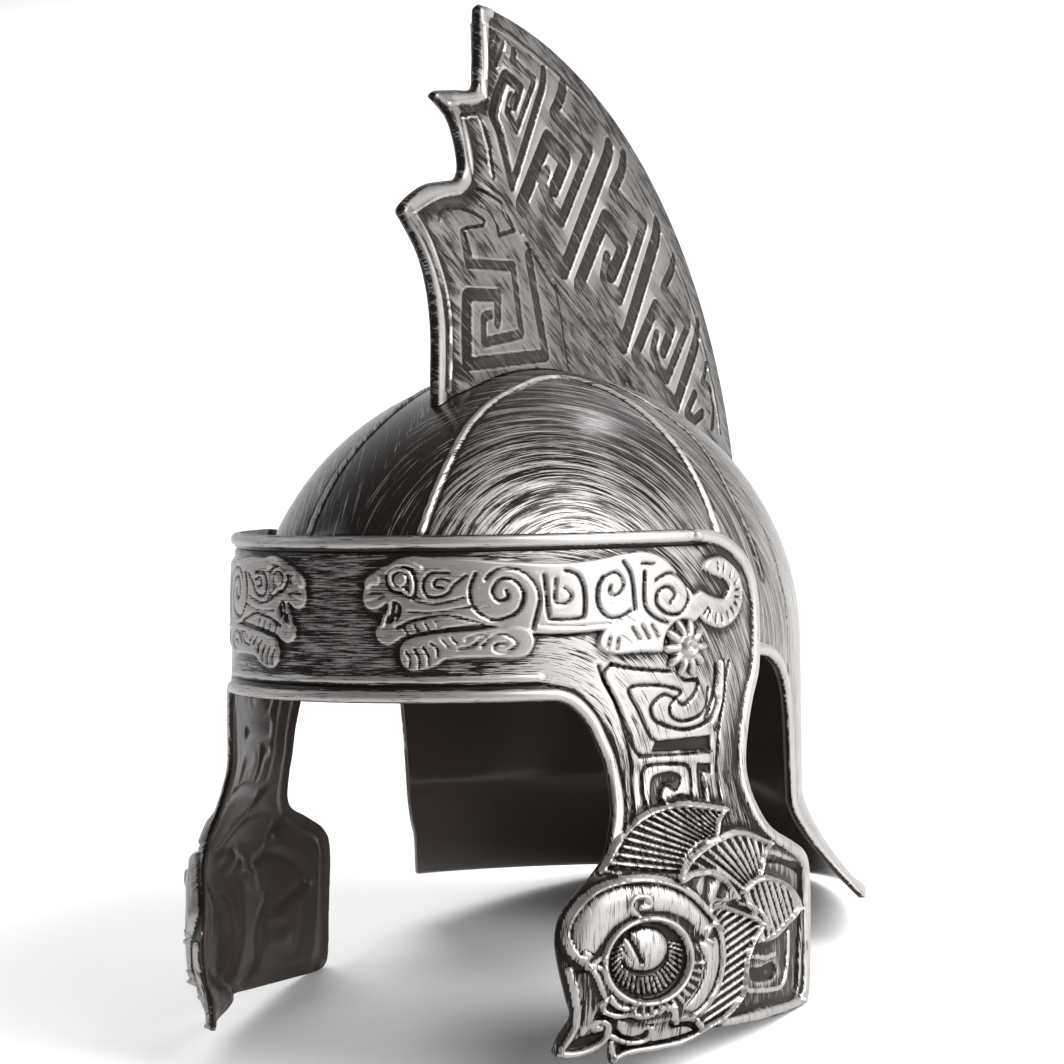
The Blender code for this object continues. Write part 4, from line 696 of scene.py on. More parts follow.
def guard_strokes():
    """The beads along the face guard's edges, with the fine lines inside them."""
    bead = 4.6
    front_edge = np.vstack([path(0, -56.2, 72, -56.2), curve(
        79, -56.3, 85.6, -58.6, 91.8, -65, 95.6, -72.8, 98.7, -80.6, 100.3, -90, 99.8, -99, 97.6, -106.4,
        94.3, -114)])
    rear_edge = curve(
        185, -172.8, 187.3, -170.5, 188.6, -162, 189.2, -148, 189.6, -134, 188.6, -125, 185, -120.2,
        176, -115.8, 167, -111, 162.6, -106, 159.8, -98, 158.9, -90, 159.8, -79.5, 162.8, -69,
        166.4, -60.5, 171.4, -51.5, 173.4, -41, 174, -28, 172, -18.4, 166.6, -11.6,
        158.5, -6.4, 149.5, -3.2, 140, -2.2)
    return [
        Ridge(path(0, -2.3, 140, -2.3), bead, 1.5), Groove(path(0, -5.6, 146, -5.6), 1.3, 0.7),
        Ridge(rear_edge, bead + 0.8, 1.7), Ridge(front_edge, bead, 1.5),
        Groove(np.vstack([path(0, -52.6, 74, -52.6), curve(82, -54, 88.3, -57.3, 94.6, -64.5, 98.6, -72.8,
               101.6, -81, 103.3, -90, 102.6, -99, 99.4, -107)]), 1.3, 0.8),
        Ridge(path(0, -50.4, 74, -50.4), 2.6, 0.6),
        Groove(curve(159, -120, 172, -121.5, 184, -125.8, 186, -129, 185.2, -142, 183.4, -160, 181, -170.5),
               2.1, 1.15),
        Ridge(path(136, -175.2, 158, -175, 184, -173.8), 3.4, 1.2),
    ]


def rim_reach_table(count=1441):
    """Angles round the rim's ellipse, and the distance along it to each."""
    angle = np.linspace(0.0, pi, count)
    run = np.hypot(np.diff(BAND_HALF_WIDTH * np.sin(angle)), np.diff(BAND_HALF_LENGTH * np.cos(angle)))
    return angle, np.concatenate([[0.0], np.cumsum(run)])


def guard_surface(points, standoff):
    """The sheet bent round the rim's ellipse: wider with depth, flared low down, domed at the eye."""
    angles, reaches = rim_reach_table()
    turn = np.interp(points[..., 0], reaches, angles)
    depth = -points[..., 1]
    spread = BAND_DRIFT * np.clip(depth, 0.0, DRIFT_DEPTH)
    spread = spread + CHEEK_FLARE * smooth((depth - CHEEK_FLARE_TOP) / CHEEK_FLARE_DEPTH)
    half_width, half_length = BAND_HALF_WIDTH + spread, BAND_HALF_LENGTH + spread
    normal = np.stack([np.sin(turn) / half_width, -np.cos(turn) / half_length, np.zeros_like(turn)], axis=-1)
    normal /= np.linalg.norm(normal, axis=-1)[..., None]
    ground = np.stack([half_width * np.sin(turn), -half_length * np.cos(turn), points[..., 1]], axis=-1)
    away = np.hypot(points[..., 0] - BOSS_CENTRE[0], points[..., 1] - BOSS_CENTRE[1])
    boss = BOSS_RISE * (1.0 - smooth((away - 0.75 * BOSS_RADIUS) / (0.6 * BOSS_RADIUS)))
    return ground + normal * (standoff + boss)[..., None]


def pivot_on_sheet():
    """The hinge as a place on the flat sheet: the distance round to it, and its height."""
    spread = -BAND_DRIFT * PIVOT_Z
    turn = acos(-PIVOT_Y / (BAND_HALF_LENGTH + spread))
    angles, reaches = rim_reach_table()
    return np.array([np.interp(turn, angles, reaches), PIVOT_Z])


def guard_shell(step):
    """The sheet cut to its outline, with its relief. The seat under the rosette is left flat."""
    points, keep = snapped_grid((0.0, -186 * MM), (194 * MM, 0.0), step, GUARD_OUTLINE)
    flat = points.reshape(-1, 2)
    height = carve(flat, beast_strokes() + meander_strokes() + feather_strokes() + guard_strokes())
    seat = np.hypot(*(flat - pivot_on_sheet()).T)
    height = (height * smooth((seat - ROSETTE_RADIUS * 0.9) / (1.5 * MM))).reshape(points.shape[:2])
    grain = blurred(height, int(2.6 * MM / step))
    outer = guard_surface(points, height)
    inner = guard_surface(points, 0.7 * blurred(height, int(1.6 * MM / step)) - GUARD_WALL)
    lift = (1.12 * height - grain) / MM
    lining = np.full(height.shape, INSIDE)
    return Shell(outer, inner, keep, guard_brush(points), lift, guard_cover_and_highlight(points), lining)


def guard_brush(points):
    """Strokes run along the band, turn round the opening's corner and go down the cheek."""
    corner, radius = np.array([72.0, -84.0]) * MM, 45 * MM
    run, rise = points[..., 0] - corner[0], points[..., 1] - corner[1]
    angle = np.arctan2(np.maximum(run, 0.0), np.maximum(rise, 1e-6))
    along = np.where(run < 0.0, points[..., 0], corner[0] + radius * angle) + np.maximum(-rise, 0.0)
    across = np.where(run < 0.0, rise, np.where(rise < 0.0, run, np.hypot(run, rise)))
    return np.stack([along, across], axis=-1)


def guard_cover_and_highlight(points):
    """Thin paint in the middle of the brow and most at the temple, partly a painted highlight where the side
    light's highlight falls there; less again on the cheek.
    """
    place, height = points[..., 0] / MM, points[..., 1] / MM
    # More cover at the temple: partly brushing, partly a painted highlight standing in for the side light's
    # blown-out highlight there
    cover = 0.40 + 0.32 * smooth((place - 22.0) / 50.0) - 0.20 * smooth((place - 120.0) / 30.0)
    cheek = smooth((-height - 58.0) / 30.0)
    plate = smooth((place - 148.0) / 8.0) * smooth((-height - 116.0) / 4.0)
    return cover + cheek * (0.36 - cover) + 0.14 * plate


# Skull

FRONT_GORE = np.array([
    (0.26, -0.86), (0.24, -0.67), (0.215, -0.53), (0.21, -0.38), (0.212, -0.20), (0.235, -0.10),
    (0.30, -0.045), (0.40, -0.015), (0.54, 0.0), (0.68, 0.0), (0.82, -0.015), (0.90, -0.03), (0.955, -0.04)])
REAR_GORE = np.array([
    (0.955, 0.165), (0.85, 0.15), (0.75, 0.16), (0.63, 0.165), (0.47, 0.12), (0.33, 0.10), (0.24, 0.18),
    (0.21, 0.35), (0.21, 0.60), (0.205, 0.80), (0.20, 0.93)])
EAR_EDGE = curve(
    -14, -55.9, -6, -53, 4, -49.3, 16, -47.9, 28, -49, 38, -53.5, 45, -61, 48.5, -71, 50, -84, 50.5, -97,
    52, -107, 57.5, -117, 65, -126, 72.5, -135.5, 79, -143)


def neck_flare(z):
    """How far the neck guard stands out at a height: a share of its depth, to the power 1.5."""
    share = np.clip((-z - (-NECK_EDGE_Z - NECK_FLARE_DEPTH)) / NECK_FLARE_DEPTH, 0.0, 1.0)
    return NECK_FLARE * share ** 1.5


def skull_surface(travel, turn, standoff, wall=0.0):
    """Travel runs down the profile from the crown: a quarter ellipse to 1, then straight and flared."""
    over = np.minimum(travel, 1.0) * pi / 2.0
    z = DOME_BASE_Z + (DOME_RISE - wall) * np.cos(over) - np.maximum(travel - 1.0, 0.0) * DOME_RISE
    flare = neck_flare(z)
    half_width = (DOME_HALF_WIDTH - wall) * np.sin(over) + flare
    half_length = (DOME_HALF_LENGTH - wall) * np.sin(over) + flare
    brow = (DOME_HALF_LENGTH - wall) * sqrt(1.0 - (DOME_BASE_Z / (DOME_RISE - wall)) ** 2)
    front = np.where((z < 0.0) & (np.cos(turn) > 0.0), np.minimum(half_length, brow), half_length)
    ground = np.stack([half_width * np.sin(turn), DOME_CENTRE_Y - front * np.cos(turn), z], axis=-1)
    normal = np.stack([np.sin(turn) * np.sin(over), -np.cos(turn) * np.sin(over), np.cos(over)], axis=-1)
    return ground + normal * standoff[..., None]


def travel_of_height(z):
    """The travel at which the profile reaches a height."""
    if z > DOME_BASE_Z:
        return acos((z - DOME_BASE_Z) / DOME_RISE) / (pi / 2.0)
    return 1.0 + (DOME_BASE_Z - z) / DOME_RISE


def skull_edge():
    """The lower edge as (turn, travel): brow, ear arch and neck guard."""
    ear = np.array([
        (acos(-(y - DOME_CENTRE_Y) / (DOME_HALF_LENGTH + float(neck_flare(z)))), travel_of_height(z))
        for y, z in EAR_EDGE])
    brow = np.array([(0.0, travel_of_height(BROW_EDGE_Z))])
    nape = np.array([(pi, travel_of_height(NECK_EDGE_Z))])
    return np.vstack([brow, ear, nape])


def gore_line(rows):
    """Rows of the dome's plan as (turn, travel)."""
    radius = np.minimum(np.hypot(rows[:, 0], rows[:, 1]), 1.0)
    return np.stack([np.arctan2(rows[:, 0], -rows[:, 1]), np.arcsin(radius) / (pi / 2.0)], axis=1)


def smooth_line(points, samples=8):
    """The smooth curve through points that are already in metres or shares."""
    return curve(*(points / MM).ravel(), samples=samples)


def skull_shell(columns, rows):
    """The polar sheet down to its lower edge, with a bead there, and the gore ridges between fine cuts."""
    edge = skull_edge()
    turn = np.linspace(0.0, pi, columns)
    reach = np.interp(turn, edge[:, 0], edge[:, 1])
    share = np.linspace(0.0, 1.0, rows)[:, None]
    travel = share * reach[None, :]
    turn = np.broadcast_to(turn, travel.shape)
    ground = skull_surface(travel, turn, np.zeros_like(travel))
    flat = ground.reshape(-1, 3)
    height = np.zeros(len(flat))
    cut = np.zeros(len(flat))
    for rows_of_plan, rise, half in ((FRONT_GORE, 0.9, 1.35), (REAR_GORE, 0.35, 0.8)):
        line = smooth_line(gore_line(rows_of_plan))
        course = skull_surface(line[:, 1], line[:, 0], np.zeros(len(line)))
        away = nearest_space(flat, course)
        height += rise * MM * np.sqrt(np.clip(1.0 - (away / (half * MM)) ** 2, 0.0, 1.0))
        cut += 0.45 * MM * np.exp(-((away - (half + 0.7) * MM) / (0.6 * MM)) ** 2)
    bottom = skull_surface(reach, turn[0], np.zeros(len(reach)))
    to_edge = np.full(len(flat), 1.0)
    low = flat[:, 2] < -30 * MM
    to_edge[low] = nearest_space(flat[low], bottom)
    bead = 1.3 * MM * np.sqrt(np.clip(1.0 - ((to_edge - 2.2 * MM) / (2.2 * MM)) ** 2, 0.0, 1.0))
    height = (height - cut + bead).reshape(travel.shape)
    outer = skull_surface(travel, turn, height)
    inner = skull_surface(travel, turn, np.zeros_like(travel), SKULL_WALL)
    keep = np.ones((rows - 1, columns - 1), bool)
    return Shell(outer[:, ::-1], inner[:, ::-1], keep, skull_brush(ground, travel, turn)[:, ::-1],
                 height[:, ::-1] / MM, skull_cover(turn, travel)[:, ::-1], np.full(height.shape, INSIDE))


def skull_brush(ground, travel, turn):
    """Strokes sweep in arcs round a point low on the brow's side. Behind the side ridge they run down."""
    centre = skull_surface(np.array(0.89), np.array(radians(HUB_TURN)), np.array(0.0))
    offset = ground - centre
    out = centre - (0.0, DOME_CENTRE_Y, DOME_BASE_Z)
    out = out / np.linalg.norm(out)
    level = np.cross((0.0, 0.0, 1.0), out)
    level = level / np.linalg.norm(level)
    angle = np.arctan2(offset @ level, offset @ np.cross(out, level))
    swept_round = np.stack([angle * 60 * MM, np.linalg.norm(offset, axis=-1)], axis=-1)
    round_about = (turn - pi) * DOME_HALF_LENGTH * np.sin(np.minimum(travel, 1.0) * pi / 2.0)
    down = np.stack([travel * 1.5 * DOME_RISE, round_about], axis=-1)
    behind = ground[..., 1] > DOME_CENTRE_Y + 0.14 * DOME_HALF_LENGTH
    return np.where(behind[..., None], down, swept_round)


def skull_cover(turn, travel):
    """Bare in the front gore, more paint towards the band and behind the side ridge, and extra paint round
    the strokes' hub low on the near side, partly a painted highlight where the dome's hot spot falls.
    """
    front = smooth((np.degrees(turn) - 8.0) / 22.0)
    low = smooth((travel - 0.35) / 0.5)
    # Extra cover round the hub: partly brushing, partly a painted highlight at the dome's hot spot
    hub_paint_and_highlight = np.exp(-((travel - 0.86) / 0.16) ** 2 - ((np.degrees(turn) - HUB_TURN) / 20.0) ** 2)
    behind = smooth((np.degrees(turn) - 95.0) / 20.0)
    return 0.08 + 0.26 * front + 0.12 * low * front + 0.10 * behind + 0.35 * hub_paint_and_highlight


def nearest_space(points, line):
    """Distance in space from each point to an open path."""
    away = np.full(len(points), 1.0)
    step = max(1, len(line) // 240)
    line = np.vstack([line[::step], line[-1:]])
    for start, end in zip(line[:-1], line[1:]):
        run = end - start
        part = np.clip((points - start) @ run / max(run @ run, 1e-18), 0.0, 1.0)
        away = np.minimum(away, np.linalg.norm(points - start - part[:, None] * run, axis=1))
    return away


# Crest

CREST_FREE_EDGE = np.vstack([
    path(-54.4, 45.4), curve(-54, 58.2, -53.6, 73, -56, 88, -62, 101, -74.4, 114.5),
    curve(-74.4, 114.5, -73.5, 117.8, -66, 122.6, -57, 126, -46, 127.5, -38.5, 128.6, -34.6, 132.5,
          -36.5, 142, -42, 151, -52.5, 157.2),
    curve(-52.5, 157.2, -51, 160, -38.5, 161.2, -25.6, 162.6, -23.6, 171, -22.7, 190, -21, 193.6,
          -17.6, 193.6),
])


def crest_arc(samples=60):
    """The crest's back: an arc of one radius from the tip to the tail."""
    tip, tail = np.array([-17.6, 193.6]) * MM, np.array([163.4, 8.0]) * MM
    half_chord = (tail - tip) / 2.0
    across = np.array([half_chord[1], -half_chord[0]]) / np.linalg.norm(half_chord)
    centre = tip + half_chord + across * sqrt(CREST_ARC_RADIUS ** 2 - float(half_chord @ half_chord))
    start, end = atan2(*(tip - centre)[::-1]), atan2(*(tail - centre)[::-1])
    angle = np.linspace(start, end, samples)
    return centre + CREST_ARC_RADIUS * np.stack([np.cos(angle), np.sin(angle)], axis=1)


def crest_foot(samples=80):
    """Along the dome's middle line, a seat gap above it, from the tail to the front."""
    front = acos((DOME_CENTRE_Y + 54 * MM) / DOME_HALF_LENGTH)
    rear = pi - asin((-12 * MM - DOME_BASE_Z) / DOME_RISE)
    angle = np.linspace(rear, front, samples)
    return np.stack([DOME_CENTRE_Y - (DOME_HALF_LENGTH + SEAT_GAP) * np.cos(angle),
                     DOME_BASE_Z + (DOME_RISE + SEAT_GAP) * np.sin(angle)], axis=1)


# Each meander unit along the arc: its spiral, its hook and the spiral's width in millimetres
CREST_UNITS = [
    (path(17.5, 171.5, -8, 127, -18, 152.5, -9.5, 168, -1.5, 163.5, -5.5, 157),
     path(-3, 177.5, -5.5, 174, 8.5, 167.5, -4.5, 148, -9.5, 154, -7, 160.5), 4.6),
    (path(62.5, 145, 27.5, 96.5, -2, 120.5, 16.5, 145.5, 29.5, 138, 21.5, 127.5),
     path(31, 166.5, 21.5, 156, 46, 142, 26, 115.5, 19.5, 119.5, 12.5, 129, 16, 133), 7.6),
    (path(98, 116, 69.5, 68.5, 37.5, 91.5, 57, 117, 70.5, 106.5, 62, 96),
     path(75.5, 142, 63, 128, 85.5, 115, 67, 86.5, 60.5, 90.5, 55.5, 95, 58, 102), 7.6),
    (path(129.5, 77, 108, 44.5, 78, 65, 93.5, 83.5, 105.5, 74.5, 99.5, 66.5),
     path(111, 103.5, 100, 91.5, 119, 77, 101.5, 55.5, 95.5, 59.5, 91, 66, 94, 72.5), 6.4),
    (path(122.5, 49, 116.5, 42, 122, 38.5, 128, 41.5),
     path(134, 61, 129, 54.5, 136.5, 51, 138.5, 44, 136, 36), 4.4),
]


def crest_strokes():
    """Sunk channels, square in front and rhombic along the arc, with raised lips, and the border lines."""
    strokes = [
        Ridge(curve(-68.5, 115, -60.5, 108, -54, 99, -49.5, 89.5, -47, 80.5, -46.3, 70, -47.2, 51), 1.3, 0.9),
        Groove(curve(-70.5, 113, -62.5, 106.5, -56, 98, -51.5, 88.5, -49.2, 80, -48.4, 70, -49.2, 51),
               2.0, 0.9),
        Ridge(curve(-68.5, 115, -57.5, 119.5, -48.5, 121.8, -38, 123.5), 1.2, 0.7),
        Ridge(curve(-44.5, 155.5, -33, 157, -21.3, 158.8), 1.2, 0.8),
        Ridge(path(-20.3, 186.5, -20, 173.5, -20.5, 159.3), 1.2, 0.9),
        Ridge(curve(-44.5, 155.5, -40, 147.5, -36.5, 140, -34, 130.5), 1.2, 0.8),
        Groove(path(-22.2, 188, -21.9, 173.5, -22.6, 161), 1.6, 0.8),
        Ridge(curve(-20.3, 186.5, -3.5, 182, 20.5, 172.5, 47, 159.5, 70.5, 142, 93, 121, 108, 104,
                    122, 85, 133.5, 63, 141, 45, 143, 33), 1.0, 0.5),
        Groove(curve(-16, 189, -2, 184, 22, 174.5, 49, 161, 73, 143.4, 95.4, 122.5, 111, 105.4,
                     125, 86, 136.5, 64, 144, 45.6, 146, 33), 1.4, 0.6),
        Groove(path(-9.5, 180.5, -14.5, 171), 2.0, 1.1), Ridge(path(-8.2, 180.8, -13.2, 171), 0.9, 0.8),
        Groove(path(-15, 183, -16.5, 178.5), 1.8, 1.0),
        Groove(path(-37, 152, -26.5, 153.5, -21, 141, -19, 129.5), 1.8, 0.9),
        Ridge(path(-35.3, 150.8, -27.6, 151.9, -22.6, 140.6, -20.6, 130), 0.9, 0.6),
        Groove(path(-37, 152, -33.5, 142.5, -30, 129.5, -27, 125.5, -15.5, 120.5, -6, 110), 1.6, 0.9),
        Groove(curve(-54.5, 113, -52.5, 116, -43, 117.8, -34.5, 116.8, -27.5, 114, -28, 111.8, -39.5, 110.3,
                     -40, 108.5, -36, 100.5), 1.7, 1.1),
        Groove(curve(-30.5, 126, -21.5, 123.5, -15.5, 120, -14.5, 116.5, -7, 110.5), 1.4, 0.8),
        Groove(path(-7, 110.5, -17.5, 108.5, -18.5, 111.5), 2.4, 1.0),
        Groove(curve(-18.5, 111.5, -23, 116.5, -27.5, 119), 1.2, 0.6),
        Ridge(path(-2, 109, 19.5, 92, 38, 80, 52, 70, 71, 56.5, 79.5, 49), 1.2, 0.8),
        Groove(path(0, 106.5, 19.5, 90, 38, 77.6, 52, 67.6, 70, 54), 1.4, 0.7),
        Groove(path(2.5, 110, 21, 96, 35.5, 86.5, 54.5, 74.5, 74.5, 62), 1.0, 0.5),
        Groove(path(20, 91, 23.5, 81, 28.5, 60), 1.2, 0.6),
    ]
    square_spiral = path(2, 101.5, 13, 64, -38.5, 60.5, -38.5, 86, -19, 86, -19.5, 76)
    square_hook = path(-41.5, 108.5, -38, 97.5, -8.5, 97, -3.5, 72, -29, 68.5, -29, 78, -24, 79)
    for line, width in ((square_spiral, 5.0), (square_hook, 4.0)):
        strokes += channel(line, width, 0.65)
    for spiral_line, hook_line, width in CREST_UNITS:
        strokes += channel(spiral_line, width, 0.95) + channel(hook_line, 0.8 * width, 0.85)
    return strokes


def channel(line, width, depth):
    """A sunk channel with a thin raised lip on both sides."""
    return [Ridge(line, width + 2.2, 0.35), Channel(line, width, depth, 0.8)]


def crest_shell(step):
    """The flat fin: thin with a round edge along its free outline, thicker inwards, hollow from the foot."""
    free = np.vstack([CREST_FREE_EDGE, crest_arc()[1:], path(161.2, -0.4)])
    outline = np.vstack([free, crest_foot()])
    points, keep = snapped_grid((-80 * MM, -14 * MM), (168 * MM, 196 * MM), step, outline)
    flat = points.reshape(-1, 2)
    away = nearest_chunks(flat, free)
    thick = CREST_NOSE + (CREST_HALF - CREST_NOSE) * smooth(away / CREST_THINNING)
    share = np.clip(away / CREST_EDGE_ROUND, 0.0, 1.0)
    round_edge = thick * np.sqrt(1.0 - (1.0 - share) ** 2)
    front = nearest_chunks(flat, CREST_FREE_EDGE)
    border = 0.9 * MM * np.sqrt(np.clip(1.0 - ((front - 3.2 * MM) / (2.6 * MM)) ** 2, 0.0, 1.0))
    height = carve(flat, crest_strokes()) * smooth(away / (3.0 * MM)) + border
    half = (round_edge + height).reshape(points.shape[:2])
    inside_half = np.clip(round_edge.reshape(half.shape) - CREST_WALL, 0.0, None)
    height = height.reshape(half.shape)
    way = np.array([cos(CREST_BRUSH_SLANT), sin(CREST_BRUSH_SLANT)])
    ridden = swept(height, way, int(9.0 * MM / step))
    lift = height - 0.8 * ridden - 0.2 * blurred(height, int(1.2 * MM / step))
    outer = np.stack([half, points[..., 0], points[..., 1]], axis=-1)
    inner = np.stack([inside_half * share.reshape(half.shape), points[..., 0], points[..., 1]], axis=-1)
    cover = 0.50 + 0.25 * smooth(1.0 - np.abs(front - 2.8 * MM) / (3.0 * MM))
    cover = (cover - 0.2 * smooth(1.0 - away / (3.0 * MM)) * (front > 5.0 * MM)).reshape(half.shape)
    brush = np.stack([points @ way, points @ (-way[1], way[0])], axis=-1)
    lining = np.where(away.reshape(half.shape) < 0.1 * MM, cover, INSIDE)
    return Shell(outer, inner, keep, brush, lift / MM, cover, lining)


def nearest_chunks(points, line, size=20000):
    """Distance to an open path, a part of the points at a time, so that the arrays stay small."""
    return np.concatenate([nearest_on_path(points[i:i + size], line, False)[0]
                           for i in range(0, len(points), size)])


# Materials

class Value:
    """A shader socket that adds Math nodes when it is used in an expression."""

    def __init__(self, tree, socket):
        self.tree = tree
        self.socket = socket

    def maths(self, operation, *others):
        terms = dict(enumerate((self, *others)))
        return Value(self.tree, add_node(self.tree, "ShaderNodeMath", {"operation": operation}, terms))

    def __add__(self, other):
        return self.maths("ADD", other)

    def __radd__(self, other):
        return self.maths("ADD", other)

    def __sub__(self, other):
        return self.maths("SUBTRACT", other)

    def __rsub__(self, other):
        terms = {0: other, 1: self}
        return Value(self.tree, add_node(self.tree, "ShaderNodeMath", {"operation": "SUBTRACT"}, terms))

    def __mul__(self, other):
        return self.maths("MULTIPLY", other)

    def __rmul__(self, other):
        return self.maths("MULTIPLY", other)

    def clipped(self):
        return self.maths("MAXIMUM", 0.0).maths("MINIMUM", 1.0)

    def between(self, low, high):
        """Zero at low, one at high, smooth between them."""
        share = ((self - low) * (1.0 / (high - low))).clipped()
        return share * share * (3.0 - 2.0 * share)


def fill_sockets(tree, node, sockets):
    """Each socket, by its name or number, gets a value or a link."""
    for key, value in sockets.items():
        if isinstance(value, Value):
            value = value.socket
        if isinstance(value, bpy.types.NodeSocket):
            tree.links.new(value, node.inputs[key])
        else:
            node.inputs[key].default_value = value


def add_node(tree, kind, settings, sockets=None, output=0):
    """A node of a kind, with its settings made first and then its sockets."""
    node = tree.nodes.new(kind)
    for name, setting in settings.items():
        setattr(node, name, setting)
    fill_sockets(tree, node, sockets or {})
    return node.outputs[output]


def brush_noise(tree, brush, along, across, detail, rough):
    """Noise on the brush map, long one way and fine the other: cells are 1 / along by 1 / across."""
    stretch = {0: brush, 1: (along, across, 1.0)}
    stretched = add_node(tree, "ShaderNodeVectorMath", {"operation": "MULTIPLY"}, stretch)
    sockets = {"Vector": stretched, "Scale": 1.0, "Detail": detail, "Roughness": rough}
    return Value(tree, add_node(tree, "ShaderNodeTexNoise", {}, sockets))


def mixed(tree, share, first, second):
    """A colour between two, by a share."""
    return add_node(tree, "ShaderNodeMix", {"data_type": "RGBA"}, {0: share, 6: first, 7: second}, output=2)


def surface_value(tree, name):
    """A number that the mesh carries at its points."""
    return Value(tree, add_node(tree, "ShaderNodeAttribute", {"attribute_name": name}, output=2))


# How a piece is brushed: strokes in millimetres, how much the lift and the strokes count, its gloss and bare
# roughness, and its tone: how much darker its silver is where the surface doesn't stand up, a painted shade,
# beside the full silver of the raised lips, a painted highlight
Brushwork = namedtuple("Brushwork", "stroke_length stroke_width contrast streak gloss bare_roughness tone")
GUARD_BRUSHWORK = Brushwork(12.0, 0.42, 0.85, 4.2, 0.14, 0.24, 0.85)
SKULL_BRUSHWORK = Brushwork(26.0, 0.45, 0.8, 3.2, 0.2, 0.15, 0.9)
CREST_BRUSHWORK = Brushwork(9.0, 0.4, 0.9, 2.0, 0.12, 0.26, 0.45)
ROSETTE_BRUSHWORK = Brushwork(3.0, 0.4, 1.1, 2.4, 0.2, 0.2, 0.8)
PAINTED_ROUGHNESS = 0.41
BUMP_DEPTH = 0.12 * MM


def silvered_plastic(name, work):
    """Black gloss plastic with silver paint brushed over what stands up.

    The paint follows the lift and the cover, broken up by long fine strokes, and stays out of the recesses.
    Its silver is darker by the tone where the surface doesn't stand up, a painted shade, and full on the
    raised lips, a painted highlight.
    The inside has no paint.
    """
    look = bpy.context.scene.helmet_look
    material = bpy.data.materials.new(name)
    material.use_nodes = True
    tree = material.node_tree
    brush = add_node(tree, "ShaderNodeUVMap", {"uv_map": "brush"})
    lift, cover = surface_value(tree, "lift"), surface_value(tree, "cover")
    along, across = 1.0 / (work.stroke_length * MM), 1.0 / (work.stroke_width * MM)
    strokes = brush_noise(tree, brush, along, across, 4.0, 0.7)
    wide = brush_noise(tree, brush, 0.6 * along, 0.2 * across, 2.0, 0.5)
    patches = brush_noise(tree, brush, 22.0, 45.0, 2.0, 0.5)
    outside = cover.between(-0.6, -0.2)
    paint = (lift.between(-0.35, 0.45) - 0.42) * work.contrast + cover + lift.between(0.9, 1.6) * 0.3
    paint = paint + (strokes - 0.5) * work.streak + (wide - 0.5) * 1.1 + (patches - 0.5) * 0.5
    paint = paint.between(0.36, 0.66) * outside * lift.between(-0.52, -0.3)
    bare = mixed(tree, outside, (*look.inside, 1.0), (*look.plastic, 1.0))
    # Painted shade and highlight: the silver is darkened by the tone where the surface doesn't stand up, and
    # the raised lips keep the full silver as a painted highlight
    shaded_silver = tuple(work.tone * part for part in look.silver)
    silver = mixed(tree, lift.between(0.1, 0.5), (*shaded_silver, 1.0), (*look.silver, 1.0))
    painted = (PAINTED_ROUGHNESS - work.bare_roughness) + (strokes - 0.5) * 0.3
    bump = {"Strength": 0.4, "Distance": BUMP_DEPTH, "Height": strokes * 0.7 + paint * 0.5}
    fill_sockets(tree, tree.nodes["Principled BSDF"], {
        "Base Color": mixed(tree, paint, bare, silver), "Metallic": paint * 0.9,
        "Roughness": work.bare_roughness + paint * painted, "Specular IOR Level": work.gloss,
        "Normal": add_node(tree, "ShaderNodeBump", {}, bump),
    })
    return material


def plain_material(name, colour, roughness):
    """One colour and one roughness."""
    material = bpy.data.materials.new(name)
    material.use_nodes = True
    tree = material.node_tree
    fill_sockets(tree, tree.nodes["Principled BSDF"], {"Base Color": (*colour, 1.0), "Roughness": roughness})
    return material


# Rosettes

